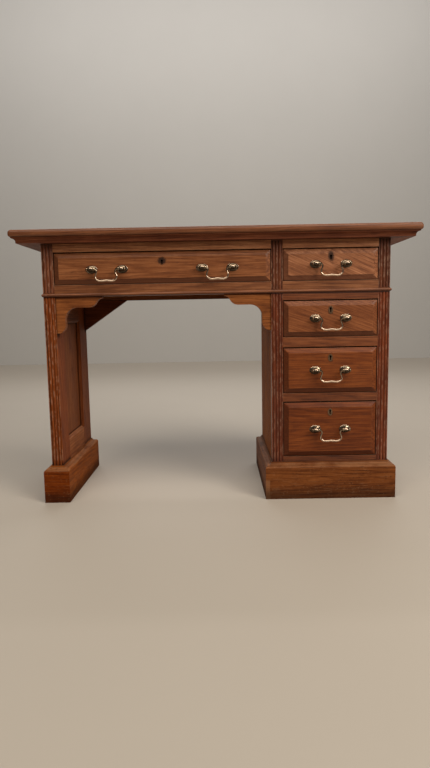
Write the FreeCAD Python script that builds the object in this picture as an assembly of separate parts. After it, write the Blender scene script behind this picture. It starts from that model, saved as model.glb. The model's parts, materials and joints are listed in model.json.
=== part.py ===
import FreeCAD, Part
import math
import os

# Kneehole desk with one pedestal, in millimetres.
# The origin is on the floor under the middle of the top, +Z is up and the front faces -Y.

# Widths
KNEEHOLE_W = 600.0
STILE_W = 32.0
PEDESTAL_OPENING_W = 264.0
TOP_SIDE_OVERHANG = 75.0

# Depths
CARCASE_D = 368.0
TOP_FRONT_OVERHANG = 45.0
STILE_T = 22.0

# Heights of the pedestal from the floor up
PLINTH_H = 104.0
BOTTOM_RAIL_H = 16.0
DEEP_OPENING_H = 158.0
LOWER_RAIL_H = 24.0
MIDDLE_OPENING_H = 130.0
UPPER_RAIL_H = 28.0
UPPER_OPENING_H = 103.0
PEDESTAL_TOP_RAIL_H = 20.0

# Heights of the frieze and the top
FRIEZE_BOTTOM_RAIL_H = 32.0
FRIEZE_OPENING_H = 89.0
FRIEZE_TOP_RAIL_H = 23.0
BED_MOULDING_H = 16.0
TOP_T = 19.0

# Top edge and bed moulding
TOP_NOSE_UPPER_R = 9.0
TOP_NOSE_LOWER_R = 6.0
BED_MOULDING_W = 104.0
BED_STEP = 6.0
BED_FILLET = 3.0
BED_COVE_D = 10.0

# Boards of the carcase
SIDE_T = 20.0
BACK_T = 16.0
BASE_T = 10.0

# Bead round the foot of the frieze
BEAD_H = 9.0
BEAD_OUT = 4.0

# Reeds worked into the stiles
REED_COUNT = 3
REED_MARGIN = 3.0
REED_DEPTH = 2.4
REED_STOP = 2.0

# Plinth
PLINTH_T = 20.0
PLINTH_FACE_H = 88.0
PLINTH_FILLET = 3.0

# Left support frame
LEG_FRONT_STILE_D = 82.0
LEG_REAR_STILE_D = 100.0
LEG_TOP_RAIL_H = 76.0
LEG_BOTTOM_RAIL_H = 65.0
LEG_PANEL_T = 10.0
LEG_GROOVE_D = 8.0
LEG_PANEL_PLAY = 1.0
LEG_CHAMFER = 7.0
TENON_T = 11.0
TENON_LENGTH = 24.0
TENON_SHOULDER = 10.0

# Brackets and gusset of the kneehole
BRACKET_T = 20.0
BRACKET_SETBACK = 4.0
BRACKET_ARM = 131.0
BRACKET_ARM_H = 30.0
BRACKET_TIP_H = 5.0
BRACKET_TIP_W = 40.0
BRACKET_TIP_HOLLOW = 0.42
BRACKET_DROP = 101.0
BRACKET_DROP_W = 25.0
BRACKET_TOE_W = 8.0
BRACKET_TOE_H = 28.0
BRACKET_HOLLOW_R = 33.0
GUSSET_W = 145.0
GUSSET_H = 104.0
GUSSET_T = 20.0
BACK_LIP_H = 5.0

# Drawers
DRAWER_SIDE_GAP = 1.5
DRAWER_TOP_GAP = 3.2
DRAWER_BOTTOM_GAP = 1.0
DRAWER_SETBACK = 2.0
DRAWER_FRONT_T = 18.0
DRAWER_REAR_GAP = 8.0
FIELD_BEVEL_W = 13.0
FIELD_BEVEL_D = 5.5
FIELD_STEP = 1.2
BOX_T = 10.0
BOX_TOP_DROP = 5.0
BOX_BACK_DROP = 8.0
BOTTOM_T = 6.0
BOTTOM_RISE = 8.0
BOTTOM_GROOVE_D = 5.0
TAIL_LENGTH = 12.0
TAIL_FLARE = 2.0
TAIL_SHARE = 0.62

# Runners, guides, kickers and stops
RUNNER_T = 12.0
RUNNER_LEDGE = 4.0
GUIDE_H = 16.0
GUIDE_PLAY = 0.5
KICKER_T = 14.0
KICKER_PLAY = 1.0

# Handles
POST_SPACING = 84.0
PIVOT_OUT = 16.0
BALL_R = 7.0
NECK_R = 4.5
SHANK_R = 2.5
SHANK_PLAY = 0.25
SHANK_END = 2.0
NUT_ACROSS = 10.0
NUT_T = 4.0
NUT_PLAY = 0.05
ROSE_W = 30.0
ROSE_H = 22.0
ROSE_T = 3.0
ROSE_TAPER = 2.0
PIN_R = 2.0
PIN_PLAY = 0.05
PIN_INSET = 1.0
BAIL_R = 2.6
BAIL_DROP = 32.0
BAIL_SHOULDER = 1.0
BAIL_NECK_RADIUS = 7.0
BAIL_CORNER_RADIUS = 8.0
BAIL_BUMP_W = 24.0
BAIL_BUMP_H = 1.2
LONG_HANDLE_OFFSET = 152.0

# Locks
KEYHOLE_R = 3.2
KEYHOLE_SLOT_W = 3.2
KEYHOLE_SLOT_L = 10.0
LOCK_W = 38.0
LOCK_BELOW_KEY = 14.0
LOCK_INLET = 12.0
LOCK_OUT = 3.0
LOCK_PLATE_W = 50.0
LOCK_PLATE_T = 2.0
BOLT_W = 20.0
BOLT_T = 4.0
BOLT_H = 13.0
BOLT_PLAY = 0.3
BOLT_THROW = 9.0
MORTISE_PLAY = 1.5
ESCUTCHEON_W = 13.0
ESCUTCHEON_H = 21.0
ESCUTCHEON_T = 1.2

# How far a cutter runs past the faces it cuts, and how near counts as the same level
CUT_PAST = 10.0
LEVEL_NEAR = 0.01

# Each drawer: dovetails at a corner, handle below the middle and key below the top of the opening
DRAWER_FITTINGS = {
    "long": {"tails": 2, "handle_drop": 4.0, "key_drop": 28.0, "plate": False},
    "short": {"tails": 2, "handle_drop": 0.0, "key_drop": 23.0, "plate": False},
    "upper": {"tails": 2, "handle_drop": 0.0, "key_drop": 25.0, "plate": True},
    "middle": {"tails": 3, "handle_drop": 0.0, "key_drop": 27.0, "plate": True},
    "deep": {"tails": 4, "handle_drop": 0.0, "key_drop": 27.0, "plate": True},
}

# Levels
Z_PEDESTAL_OPENINGS = PLINTH_H + BOTTOM_RAIL_H
Z_DEEP_TOP = Z_PEDESTAL_OPENINGS + DEEP_OPENING_H
Z_MIDDLE = Z_DEEP_TOP + LOWER_RAIL_H
Z_MIDDLE_TOP = Z_MIDDLE + MIDDLE_OPENING_H
Z_UPPER = Z_MIDDLE_TOP + UPPER_RAIL_H
Z_UPPER_TOP = Z_UPPER + UPPER_OPENING_H
Z_FRIEZE = Z_UPPER_TOP + PEDESTAL_TOP_RAIL_H
Z_FRIEZE_OPENING = Z_FRIEZE + FRIEZE_BOTTOM_RAIL_H
Z_FRIEZE_OPENING_TOP = Z_FRIEZE_OPENING + FRIEZE_OPENING_H
Z_BED = Z_FRIEZE_OPENING_TOP + FRIEZE_TOP_RAIL_H
Z_TOP_UNDER = Z_BED + BED_MOULDING_H
Z_TOP = Z_TOP_UNDER + TOP_T

# Places across the width
PEDESTAL_W = PEDESTAL_OPENING_W + 2 * STILE_W
CARCASE_W = STILE_W + KNEEHOLE_W + PEDESTAL_W
X_LEFT = -CARCASE_W / 2
X_LEG = X_LEFT + STILE_W
X_PEDESTAL = X_LEG + KNEEHOLE_W
X_OPENING = X_PEDESTAL + STILE_W
X_OPENING_END = X_OPENING + PEDESTAL_OPENING_W
X_RIGHT = X_OPENING_END + STILE_W
X_PARTITION = X_PEDESTAL + (STILE_W - SIDE_T) / 2
TOP_W = CARCASE_W + 2 * TOP_SIDE_OVERHANG
TOP_D = CARCASE_D + 2 * TOP_FRONT_OVERHANG

# Places along the depth
Y_FRONT = -CARCASE_D / 2
Y_REAR = CARCASE_D / 2
Y_INSIDE = Y_FRONT + STILE_T
Y_BACK_FACE = Y_REAR - BACK_T
Y_BORDER = Y_FRONT + DRAWER_SETBACK
Y_FIELD = Y_BORDER - FIELD_BEVEL_D - FIELD_STEP
Y_DRAWER_INSIDE = Y_BORDER + DRAWER_FRONT_T
Y_DRAWER_END = Y_BACK_FACE - DRAWER_REAR_GAP
Y_PIVOT = Y_FIELD - PIVOT_OUT

UP = FreeCAD.Vector(0, 0, 1)
ALONG_X = FreeCAD.Vector(1, 0, 0)
ALONG_Y = FreeCAD.Vector(0, 1, 0)


def point(x, y, z):
    return FreeCAD.Vector(x, y, z)


def box(x, y, z):
    """A block between the low and high values of each pair."""
    return Part.makeBox(x[1] - x[0], y[1] - y[0], z[1] - z[0], point(x[0], y[0], z[0]))


def prism(points, direction):
    """A solid with straight sides from a closed outline of points."""
    outline = Part.makePolygon(points + points[:1])
    return Part.Face(outline).extrude(direction)


def arc_edge(start, middle, end):
    return Part.Arc(start, middle, end).toShape()


def line_edge(start, end):
    return Part.makeLine(start, end)


def drilled(radius, x, z, y):
    """A cutter for a round hole along the depth, running past both faces."""
    length = y[1] - y[0] + 2 * CUT_PAST
    return Part.makeCylinder(radius, length, point(x, y[0] - CUT_PAST, z), ALONG_Y)


def save(node, solids):
    """Write the pieces of one node, each as a solid of its own."""
    for solid in solids:
        if not solid.isValid() or solid.Volume <= 0:
            raise ValueError("bad solid in " + node)
    Part.makeCompound(solids).exportStep("parts/" + node + ".step")


def mitred(length, outline, mitre_start, mitre_end):
    """A moulding along +X whose outline lies in the YZ plane, with its outer edge on y = 0."""
    strip = Part.Face(Part.Wire(outline)).extrude(ALONG_X * length)
    bounds = strip.BoundBox
    width = bounds.YMax
    proud = min(bounds.YMin, 0.0)
    at_start = 1.0 if mitre_start else 0.0
    at_end = 1.0 if mitre_end else 0.0
    plan = [
        point(at_start * proud, proud, bounds.ZMin),
        point(length - at_end * proud, proud, bounds.ZMin),
        point(length - at_end * width, width, bounds.ZMin),
        point(at_start * width, width, bounds.ZMin),
    ]
    return strip.common(prism(plan, UP * bounds.ZLength))


def placed(shape, turn, x, y):
    """A copy turned about the vertical by some degrees and then set at x, y."""
    copy = shape.copy()
    copy.Placement = FreeCAD.Placement(point(x, y, 0), FreeCAD.Rotation(UP, turn))
    return copy


def mitred_frame(x, y, outline):
    """Four mouldings round a rectangle, front, right, back and left."""
    across = mitred(x[1] - x[0], outline, True, True)
    along = mitred(y[1] - y[0], outline, True, True)
    return [
        placed(across, 0, x[0], y[0]),
        placed(along, 90, x[1], y[0]),
        placed(across, 180, x[1], y[1]),
        placed(along, 270, x[0], y[1]),
    ]


# Top board


def top_board():
    board = box((-TOP_W / 2, TOP_W / 2), (-TOP_D / 2, TOP_D / 2), (Z_TOP_UNDER, Z_TOP))
    corners = [e for e in board.Edges if e.BoundBox.ZLength > TOP_T / 2]
    board = board.makeFillet(TOP_NOSE_LOWER_R, corners)
    upper = [e for e in board.Edges if e.BoundBox.ZMin > Z_TOP - LEVEL_NEAR]
    board = board.makeFillet(TOP_NOSE_UPPER_R, upper)
    lower = [e for e in board.Edges if e.BoundBox.ZMax < Z_TOP_UNDER + LEVEL_NEAR]
    board = board.makeFillet(TOP_NOSE_LOWER_R, lower)
    save("top_board", [board])


# Bed moulding: a fillet, a cove and a flat soffit


def bed_moulding():
    cove_top = Z_TOP_UNDER - BED_FILLET
    cove_bottom = Z_BED + BED_FILLET
    fall = cove_top - cove_bottom
    deep = math.sqrt(0.5)
    upper_back = point(0, BED_MOULDING_W, Z_TOP_UNDER)
    upper_front = point(0, BED_STEP, Z_TOP_UNDER)
    cove_start = point(0, BED_STEP, cove_top)
    cove_middle = point(0, BED_STEP + BED_COVE_D * deep, cove_bottom + fall * deep)
    cove_end = point(0, BED_STEP + BED_COVE_D, cove_bottom)
    soffit_front = point(0, BED_STEP + BED_COVE_D, Z_BED)
    soffit_back = point(0, BED_MOULDING_W, Z_BED)
    outline = [
        line_edge(upper_back, upper_front),
        line_edge(upper_front, cove_start),
        arc_edge(cove_start, cove_middle, cove_end),
        line_edge(cove_end, soffit_front),
        line_edge(soffit_front, soffit_back),
        line_edge(soffit_back, upper_back),
    ]
    save("bed_moulding", mitred_frame((-TOP_W / 2, TOP_W / 2), (-TOP_D / 2, TOP_D / 2), outline))


# Reeded stiles


def reeded_section(x_low, y_front, depth):
    """Plan of a stile whose front is worked with a row of half-round reeds."""
    pitch = (STILE_W - 2 * REED_MARGIN) / REED_COUNT
    x_high = x_low + STILE_W
    valley = y_front + REED_DEPTH
    back = y_front + depth
    edges = [line_edge(point(x_low, back, 0), point(x_low, y_front, 0))]
    edges.append(line_edge(point(x_low, y_front, 0), point(x_low + REED_MARGIN, y_front, 0)))
    start = x_low + REED_MARGIN
    edges.append(line_edge(point(start, y_front, 0), point(start, valley, 0)))
    for reed in range(REED_COUNT):
        left = start + reed * pitch
        right = left + pitch
        crest = point((left + right) / 2, y_front, 0)
        edges.append(arc_edge(point(left, valley, 0), crest, point(right, valley, 0)))
    end = x_high - REED_MARGIN
    edges.append(line_edge(point(end, valley, 0), point(end, y_front, 0)))
    edges.append(line_edge(point(end, y_front, 0), point(x_high, y_front, 0)))
    edges.append(line_edge(point(x_high, y_front, 0), point(x_high, back, 0)))
    edges.append(line_edge(point(x_high, back, 0), point(x_low, back, 0)))
    return Part.Face(Part.Wire(edges))


def reeded_stile(x_low, depth, z, reeds):
    """A stile with plain ends and reeds between two levels."""
    section = reeded_section(x_low, Y_FRONT, depth)
    section.translate(UP * reeds[0])
    middle = section.extrude(UP * (reeds[1] - reeds[0]))
    x = (x_low, x_low + STILE_W)
    y = (Y_FRONT, Y_FRONT + depth)
    foot = box(x, y, (z[0], reeds[0]))
    head = box(x, y, (reeds[1], z[1]))
    return middle.fuse([foot, head]).removeSplitter()


def frieze_stiles():
    reeds = (Z_FRIEZE + BEAD_H + REED_STOP, Z_BED - REED_STOP)
    z = (Z_FRIEZE, Z_BED)
    places = [X_LEFT, X_PEDESTAL, X_OPENING_END]
    save("frieze_stiles", [reeded_stile(x, STILE_T, z, reeds) for x in places])


def pedestal_stiles():
    reeds = (PLINTH_H + REED_STOP, Z_FRIEZE - REED_STOP)
    z = (0.0, Z_FRIEZE)
    places = [X_PEDESTAL, X_OPENING_END]
    save("pedestal_stiles", [reeded_stile(x, STILE_T, z, reeds) for x in places])


# Frieze


def frieze_boards():
    z = (Z_FRIEZE, Z_BED)
    y = (Y_INSIDE, Y_REAR)
    left = box((X_LEFT, X_LEFT + SIDE_T), y, z)
    right = box((X_RIGHT - SIDE_T, X_RIGHT), y, z)
    save("frieze_ends", [left, right])
    save("frieze_partition", [box((X_PARTITION, X_PARTITION + SIDE_T), (Y_INSIDE, Y_BACK_FACE), z)])
    back = box((X_LEFT + SIDE_T, X_RIGHT - SIDE_T), (Y_BACK_FACE, Y_REAR), z)
    lip = box((X_LEG, X_PEDESTAL), (Y_BACK_FACE, Y_REAR), (Z_FRIEZE - BACK_LIP_H, Z_FRIEZE))
    save("frieze_back", [back.fuse(lip).removeSplitter()])


def mortise(opening):
    """The slot above a drawer that its lock bolt is thrown into."""
    middle = (opening["x"][0] + opening["x"][1]) / 2
    half_w = BOLT_W / 2 + MORTISE_PLAY
    y_bolt = bolt_y()
    y = (y_bolt[0] - MORTISE_PLAY, y_bolt[1] + MORTISE_PLAY)
    z_top = opening["z"][1] - DRAWER_TOP_GAP + BOLT_THROW + MORTISE_PLAY
    return box((middle - half_w, middle + half_w), y, (opening["z"][1], z_top))


def rail(x, z):
    return box(x, (Y_FRONT, Y_INSIDE), z)


def frieze_rails(openings):
    rails = []
    for name in ("long", "short"):
        x = openings[name]["x"]
        rails.append(rail(x, (Z_FRIEZE_OPENING_TOP, Z_BED)).cut(mortise(openings[name])))
        rails.append(rail(x, (Z_FRIEZE, Z_FRIEZE_OPENING)))
    save("frieze_rails", rails)


def bead():
    half = BEAD_H / 2
    bottom = point(0, BEAD_OUT, Z_FRIEZE)
    crest = point(0, 0, Z_FRIEZE + half)
    top = point(0, BEAD_OUT, Z_FRIEZE + BEAD_H)
    outline = [arc_edge(bottom, crest, top), line_edge(top, bottom)]
    front = mitred(CARCASE_W + 2 * BEAD_OUT, outline, True, True)
    right = mitred(CARCASE_D + BEAD_OUT, outline, True, False)
    left = mitred(CARCASE_D + BEAD_OUT, outline, False, True)
    save("bead", [
        placed(front, 0, X_LEFT - BEAD_OUT, Y_FRONT - BEAD_OUT),
        placed(right, 90, X_RIGHT + BEAD_OUT, Y_FRONT - BEAD_OUT),
        placed(left, 270, X_LEFT - BEAD_OUT, Y_REAR),
    ])


# Runners, guides, kickers and stops for one drawer


def runner(wall, edge, z_low):
    """An L-section runner from a wall to under the drawer side whose outer face is at edge."""
    inward = 1.0 if edge > wall else -1.0
    ledge = edge + inward * (BOX_T + RUNNER_LEDGE)
    guide = edge - inward * GUIDE_PLAY
    section = [
        point(wall, Y_INSIDE, z_low - RUNNER_T),
        point(ledge, Y_INSIDE, z_low - RUNNER_T),
        point(ledge, Y_INSIDE, z_low),
        point(guide, Y_INSIDE, z_low),
        point(guide, Y_INSIDE, z_low + GUIDE_H),
        point(wall, Y_INSIDE, z_low + GUIDE_H),
    ]
    return prism(section, ALONG_Y * (Y_BACK_FACE - Y_INSIDE))


def kicker(wall, edge, z_high):
    inward = 1.0 if edge > wall else -1.0
    over = edge + inward * BOX_T
    z_low = z_high - BOX_TOP_DROP + KICKER_PLAY
    x = (min(wall, over), max(wall, over))
    return box(x, (Y_INSIDE, Y_BACK_FACE), (z_low, z_low + KICKER_T))


def stop_block(edge, inward, z_low):
    x = sorted([edge, edge + inward * BOX_T])
    return box(x, (Y_DRAWER_END, Y_BACK_FACE), (z_low, z_low + GUIDE_H))


def drawer_bearers(opening):
    pieces = []
    z = opening["z"]
    for wall, side in zip(opening["walls"], (0, 1)):
        inward = 1.0 - 2.0 * side
        edge = opening["x"][side] + inward * DRAWER_SIDE_GAP
        pieces.append(runner(wall, edge, z[0]))
        pieces.append(kicker(wall, edge, z[1]))
        pieces.append(stop_block(edge, inward, z[0]))
    return pieces


# Pedestal


def pedestal(openings):
    y = (Y_INSIDE, Y_REAR)
    inner = box((X_PEDESTAL, X_PEDESTAL + SIDE_T), y, (0.0, Z_FRIEZE))
    outer = box((X_RIGHT - SIDE_T, X_RIGHT), y, (0.0, Z_FRIEZE))
    save("pedestal_sides", [inner, outer])
    between = (X_PEDESTAL + SIDE_T, X_RIGHT - SIDE_T)
    save("pedestal_back", [box(between, (Y_BACK_FACE, Y_REAR), (0.0, Z_FRIEZE))])
    z_base = Z_PEDESTAL_OPENINGS - RUNNER_T
    save("pedestal_base", [box(between, (Y_INSIDE, Y_BACK_FACE), (z_base - BASE_T, z_base))])
    x = (X_OPENING, X_OPENING_END)
    rails = [rail(x, (0.0, Z_PEDESTAL_OPENINGS))]
    tops = {"deep": Z_MIDDLE, "middle": Z_UPPER, "upper": Z_FRIEZE}
    for name, z_high in tops.items():
        opening = openings[name]
        rails.append(rail(x, (opening["z"][1], z_high)).cut(mortise(opening)))
    save("pedestal_rails", rails)


# Plinths


def plinth_outline():
    """A board with a quarter round, a cove and a fillet along its top edge."""
    rise = (PLINTH_H - PLINTH_FACE_H) / 2
    run = (PLINTH_T - PLINTH_FILLET) / 2
    deep = math.sqrt(0.5)
    inner_foot = point(0, PLINTH_T, 0)
    outer_foot = point(0, 0, 0)
    face_top = point(0, 0, PLINTH_FACE_H)
    round_middle = point(0, run * (1 - deep), PLINTH_FACE_H + rise * deep)
    waist = point(0, run, PLINTH_FACE_H + rise)
    cove_middle = point(0, run + run * deep, PLINTH_FACE_H + rise + rise * (1 - deep))
    cove_end = point(0, 2 * run, PLINTH_H)
    inner_top = point(0, PLINTH_T, PLINTH_H)
    return [
        line_edge(inner_foot, outer_foot),
        line_edge(outer_foot, face_top),
        arc_edge(face_top, round_middle, waist),
        arc_edge(waist, cove_middle, cove_end),
        line_edge(cove_end, inner_top),
        line_edge(inner_top, inner_foot),
    ]


def plinth(node, x):
    wide = (x[0] - PLINTH_T, x[1] + PLINTH_T)
    deep = (Y_FRONT - PLINTH_T, Y_REAR + PLINTH_T)
    save(node, mitred_frame(wide, deep, plinth_outline()))


# Left support: a frame with a loose panel


def panel_chamfer(x_face, x_inside, y, z):
    """The cutter for the chamfer round the panel, wider at the face of the frame."""
    rims = []
    for x, wider in ((x_face, LEG_CHAMFER), (x_inside, 0.0)):
        corners = [
            point(x, y[0] - wider, z[0] - wider),
            point(x, y[1] + wider, z[0] - wider),
            point(x, y[1] + wider, z[1] + wider),
            point(x, y[0] - wider, z[1] + wider),
        ]
        rims.append(Part.makePolygon(corners + corners[:1]))
    return Part.makeLoft(rims, True, True)


def leg_frame():
    x = (X_LEFT, X_LEG)
    middle = (X_LEFT + X_LEG) / 2
    y = (Y_FRONT + LEG_FRONT_STILE_D, Y_REAR - LEG_REAR_STILE_D)
    z_bottom_rail = PLINTH_H + LEG_BOTTOM_RAIL_H
    z_top_rail = Z_FRIEZE - LEG_TOP_RAIL_H
    tenon_x = (middle - TENON_T / 2, middle + TENON_T / 2)
    tenon_y = (y[0] - TENON_LENGTH, y[1] + TENON_LENGTH)
    bottom_tenon = box(tenon_x, tenon_y, (TENON_SHOULDER, z_bottom_rail - LEG_GROOVE_D))
    top_tenon = box(tenon_x, tenon_y, (z_top_rail + LEG_GROOVE_D, Z_FRIEZE - TENON_SHOULDER))
    panel_x = (middle - LEG_PANEL_T / 2, middle + LEG_PANEL_T / 2)
    groove = box(
        panel_x,
        (y[0] - LEG_GROOVE_D, y[1] + LEG_GROOVE_D),
        (z_bottom_rail - LEG_GROOVE_D, z_top_rail + LEG_GROOVE_D),
    )
    z = (z_bottom_rail, z_top_rail)
    chamfers = [
        panel_chamfer(X_LEFT, X_LEFT + LEG_CHAMFER, y, z),
        panel_chamfer(X_LEG, X_LEG - LEG_CHAMFER, y, z),
    ]
    tongue = LEG_GROOVE_D - LEG_PANEL_PLAY
    panel = box(
        panel_x,
        (y[0] - tongue, y[1] + tongue),
        (z_bottom_rail - tongue, z_top_rail + tongue),
    )
    front = reeded_stile(X_LEFT, LEG_FRONT_STILE_D, (0.0, Z_FRIEZE), (PLINTH_H, Z_FRIEZE - REED_STOP))
    rear = box(x, (y[1], Y_REAR), (0.0, Z_FRIEZE))
    bottom_rail = box(x, y, (0.0, z_bottom_rail)).fuse(bottom_tenon).removeSplitter()
    top_rail = box(x, y, (z_top_rail, Z_FRIEZE)).fuse(top_tenon).removeSplitter()
    stile_cuts = [groove, bottom_tenon, top_tenon] + chamfers
    rail_cuts = [groove] + chamfers
    save("leg_front_stile", [front.cut(stile_cuts)])
    save("leg_rear_stile", [rear.cut(stile_cuts)])
    save("leg_rails", [bottom_rail.cut(rail_cuts), top_rail.cut(rail_cuts)])
    save("leg_panel", [panel])


# Brackets and gusset of the kneehole


def level_arc_middle(run, fall):
    """Run and fall at the middle of an arc that starts level."""
    radius = (run**2 + fall**2) / (2 * fall)
    turn = math.atan2(fall, run)
    return radius * math.sin(turn), radius * (1 - math.cos(turn))


def bracket_outline(wall, inward):
    """Outline of a bracket in the corner between a support and the frieze.

    Its tip is an ogee, hollow at the end of the arm and round below.
    """

    def at(out, down):
        return point(wall + inward * out, 0, Z_FRIEZE - down)

    deep = math.sqrt(0.5)
    tip = at(BRACKET_ARM, BRACKET_TIP_H)
    arm_start = at(BRACKET_ARM - BRACKET_TIP_W, BRACKET_ARM_H)
    tip_fall = BRACKET_ARM_H - BRACKET_TIP_H
    hollow_w = BRACKET_TIP_W * BRACKET_TIP_HOLLOW
    hollow_h = tip_fall * BRACKET_TIP_HOLLOW
    tip_turn = at(BRACKET_ARM - hollow_w, BRACKET_TIP_H + hollow_h)
    run, fall = level_arc_middle(hollow_w, hollow_h)
    tip_hollow = at(BRACKET_ARM - run, BRACKET_TIP_H + fall)
    run, fall = level_arc_middle(BRACKET_TIP_W - hollow_w, tip_fall - hollow_h)
    tip_round = at(BRACKET_ARM - BRACKET_TIP_W + run, BRACKET_ARM_H - fall)
    hollow_start = at(BRACKET_DROP_W + BRACKET_HOLLOW_R, BRACKET_ARM_H)
    hollow_in = BRACKET_HOLLOW_R * (1 - deep)
    hollow_middle = at(BRACKET_DROP_W + hollow_in, BRACKET_ARM_H + hollow_in)
    hollow_end = at(BRACKET_DROP_W, BRACKET_ARM_H + BRACKET_HOLLOW_R)
    toe_start = at(BRACKET_DROP_W, BRACKET_DROP - BRACKET_TOE_H)
    toe_run = BRACKET_DROP_W - BRACKET_TOE_W
    toe_middle = at(BRACKET_TOE_W + toe_run * deep, BRACKET_DROP - BRACKET_TOE_H * (1 - deep))
    toe = at(BRACKET_TOE_W, BRACKET_DROP)
    return [
        line_edge(at(0, 0), at(BRACKET_ARM, 0)),
        line_edge(at(BRACKET_ARM, 0), tip),
        arc_edge(tip, tip_hollow, tip_turn),
        arc_edge(tip_turn, tip_round, arm_start),
        line_edge(arm_start, hollow_start),
        arc_edge(hollow_start, hollow_middle, hollow_end),
        line_edge(hollow_end, toe_start),
        arc_edge(toe_start, toe_middle, toe),
        line_edge(toe, at(0, BRACKET_DROP)),
        line_edge(at(0, BRACKET_DROP), at(0, 0)),
    ]


def bracket(node, wall, inward):
    face = Part.Face(Part.Wire(bracket_outline(wall, inward)))
    face.translate(ALONG_Y * (Y_FRONT + BRACKET_SETBACK))
    save(node, [face.extrude(ALONG_Y * BRACKET_T)])


def rear_gusset():
    y = Y_REAR - GUSSET_T
    z_top = Z_FRIEZE - BACK_LIP_H
    corners = [
        point(X_LEG, y, z_top),
        point(X_LEG + GUSSET_W, y, z_top),
        point(X_LEG, y, Z_FRIEZE - GUSSET_H),
    ]
    save("rear_gusset", [prism(corners, ALONG_Y * GUSSET_T)])


# Drawers


def drawer_ranges(opening):
    """The front's reach in x and z, and the box sides' reach in z."""
    x = (opening["x"][0] + DRAWER_SIDE_GAP, opening["x"][1] - DRAWER_SIDE_GAP)
    z_front = (opening["z"][0] + DRAWER_BOTTOM_GAP, opening["z"][1] - DRAWER_TOP_GAP)
    z_box = (opening["z"][0], opening["z"][1] - BOX_TOP_DROP)
    return x, z_front, z_box


def dovetails(x, z, count):
    """Tails of one drawer side, wider at their tips inside the front."""
    pitch = (z[1] - z[0] - DRAWER_BOTTOM_GAP) / count
    tip_half = pitch * TAIL_SHARE / 2
    root_half = tip_half - TAIL_FLARE
    y_tip = Y_DRAWER_INSIDE - TAIL_LENGTH
    tails = []
    for index in range(count):
        z_mid = z[0] + DRAWER_BOTTOM_GAP + (index + 0.5) * pitch
        corners = [
            point(x[0], Y_DRAWER_INSIDE, z_mid - root_half),
            point(x[0], y_tip, z_mid - tip_half),
            point(x[0], y_tip, z_mid + tip_half),
            point(x[0], Y_DRAWER_INSIDE, z_mid + root_half),
        ]
        tails.append(prism(corners, ALONG_X * (x[1] - x[0])))
    return tails


def raised_front(x, z):
    """A board whose middle stands up as a field with a bevelled border and a small step."""
    board = box(x, (Y_BORDER, Y_DRAWER_INSIDE), z)
    field_x = (x[0] + FIELD_BEVEL_W, x[1] - FIELD_BEVEL_W)
    field_z = (z[0] + FIELD_BEVEL_W, z[1] - FIELD_BEVEL_W)
    y_bevel = Y_BORDER - FIELD_BEVEL_D
    bevel = Part.makeWedge(
        field_x[0], y_bevel, field_z[0], z[0], x[0],
        field_x[1], Y_BORDER, field_z[1], z[1], x[1],
    )
    field = box(field_x, (Y_FIELD, y_bevel), field_z)
    return board.fuse([bevel, field]).removeSplitter()


def keyhole(middle, z, y):
    """The cutter for a keyhole: a round hole with a slot below it."""
    hole = drilled(KEYHOLE_R, middle, z, y)
    half = KEYHOLE_SLOT_W / 2
    past = (y[0] - CUT_PAST, y[1] + CUT_PAST)
    slot = box((middle - half, middle + half), past, (z - KEYHOLE_SLOT_L, z))
    return hole.fuse(slot).removeSplitter()


def bolt_y():
    """Reach of a lock bolt along the depth, in the middle of the lock's inlet."""
    middle = Y_DRAWER_INSIDE - (LOCK_INLET - LOCK_OUT) / 2
    return (middle - BOLT_T / 2, middle + BOLT_T / 2)


def lock_case(middle, z_top, key_drop):
    """The lock's body let into the back of the front, with its plate on the top edge."""
    half = LOCK_W / 2
    z_foot = z_top - key_drop - LOCK_BELOW_KEY
    y = (Y_DRAWER_INSIDE - LOCK_INLET, Y_DRAWER_INSIDE + LOCK_OUT)
    body = box((middle - half, middle + half), y, (z_foot, z_top))
    half_plate = LOCK_PLATE_W / 2
    plate = box((middle - half_plate, middle + half_plate), y, (z_top - LOCK_PLATE_T, z_top))
    return body.fuse(plate).removeSplitter()


def bolt_bar(middle, z_top, play):
    half = BOLT_W / 2 + play
    y = bolt_y()
    return box((middle - half, middle + half), (y[0] - play, y[1] + play), (z_top - BOLT_H, z_top))


def escutcheon(middle, z):
    """An oval keyhole plate lying on the raised field."""
    oval = Part.Ellipse(point(0, 0, 0), ESCUTCHEON_H / 2, ESCUTCHEON_W / 2).toShape()
    plate = Part.Face(Part.Wire(oval)).extrude(UP * ESCUTCHEON_T)
    plate.rotate(point(0, 0, 0), UP, 90)
    plate.rotate(point(0, 0, 0), ALONG_X, 90)
    plate.translate(point(middle, Y_FIELD, z - KEYHOLE_SLOT_L / 2 + KEYHOLE_R / 2))
    return plate.cut(keyhole(middle, z, (Y_FIELD - ESCUTCHEON_T, Y_FIELD)))


# Handles


def oval(width, height, x, y, z):
    """An upright ellipse facing the front."""
    curve = Part.Ellipse(point(0, 0, 0), width / 2, height / 2).toShape()
    curve.rotate(point(0, 0, 0), ALONG_X, 90)
    curve.translate(point(x, y, z))
    return Part.Wire(curve)


def rose(x, z):
    wide = oval(ROSE_W, ROSE_H, x, Y_FIELD, z)
    narrow = oval(ROSE_W - 2 * ROSE_TAPER, ROSE_H - 2 * ROSE_TAPER, x, Y_FIELD - ROSE_T, z)
    plate = Part.makeLoft([wide, narrow], True, True)
    return plate.cut(drilled(SHANK_R + SHANK_PLAY, x, z, (Y_FIELD - ROSE_T, Y_FIELD)))


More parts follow.
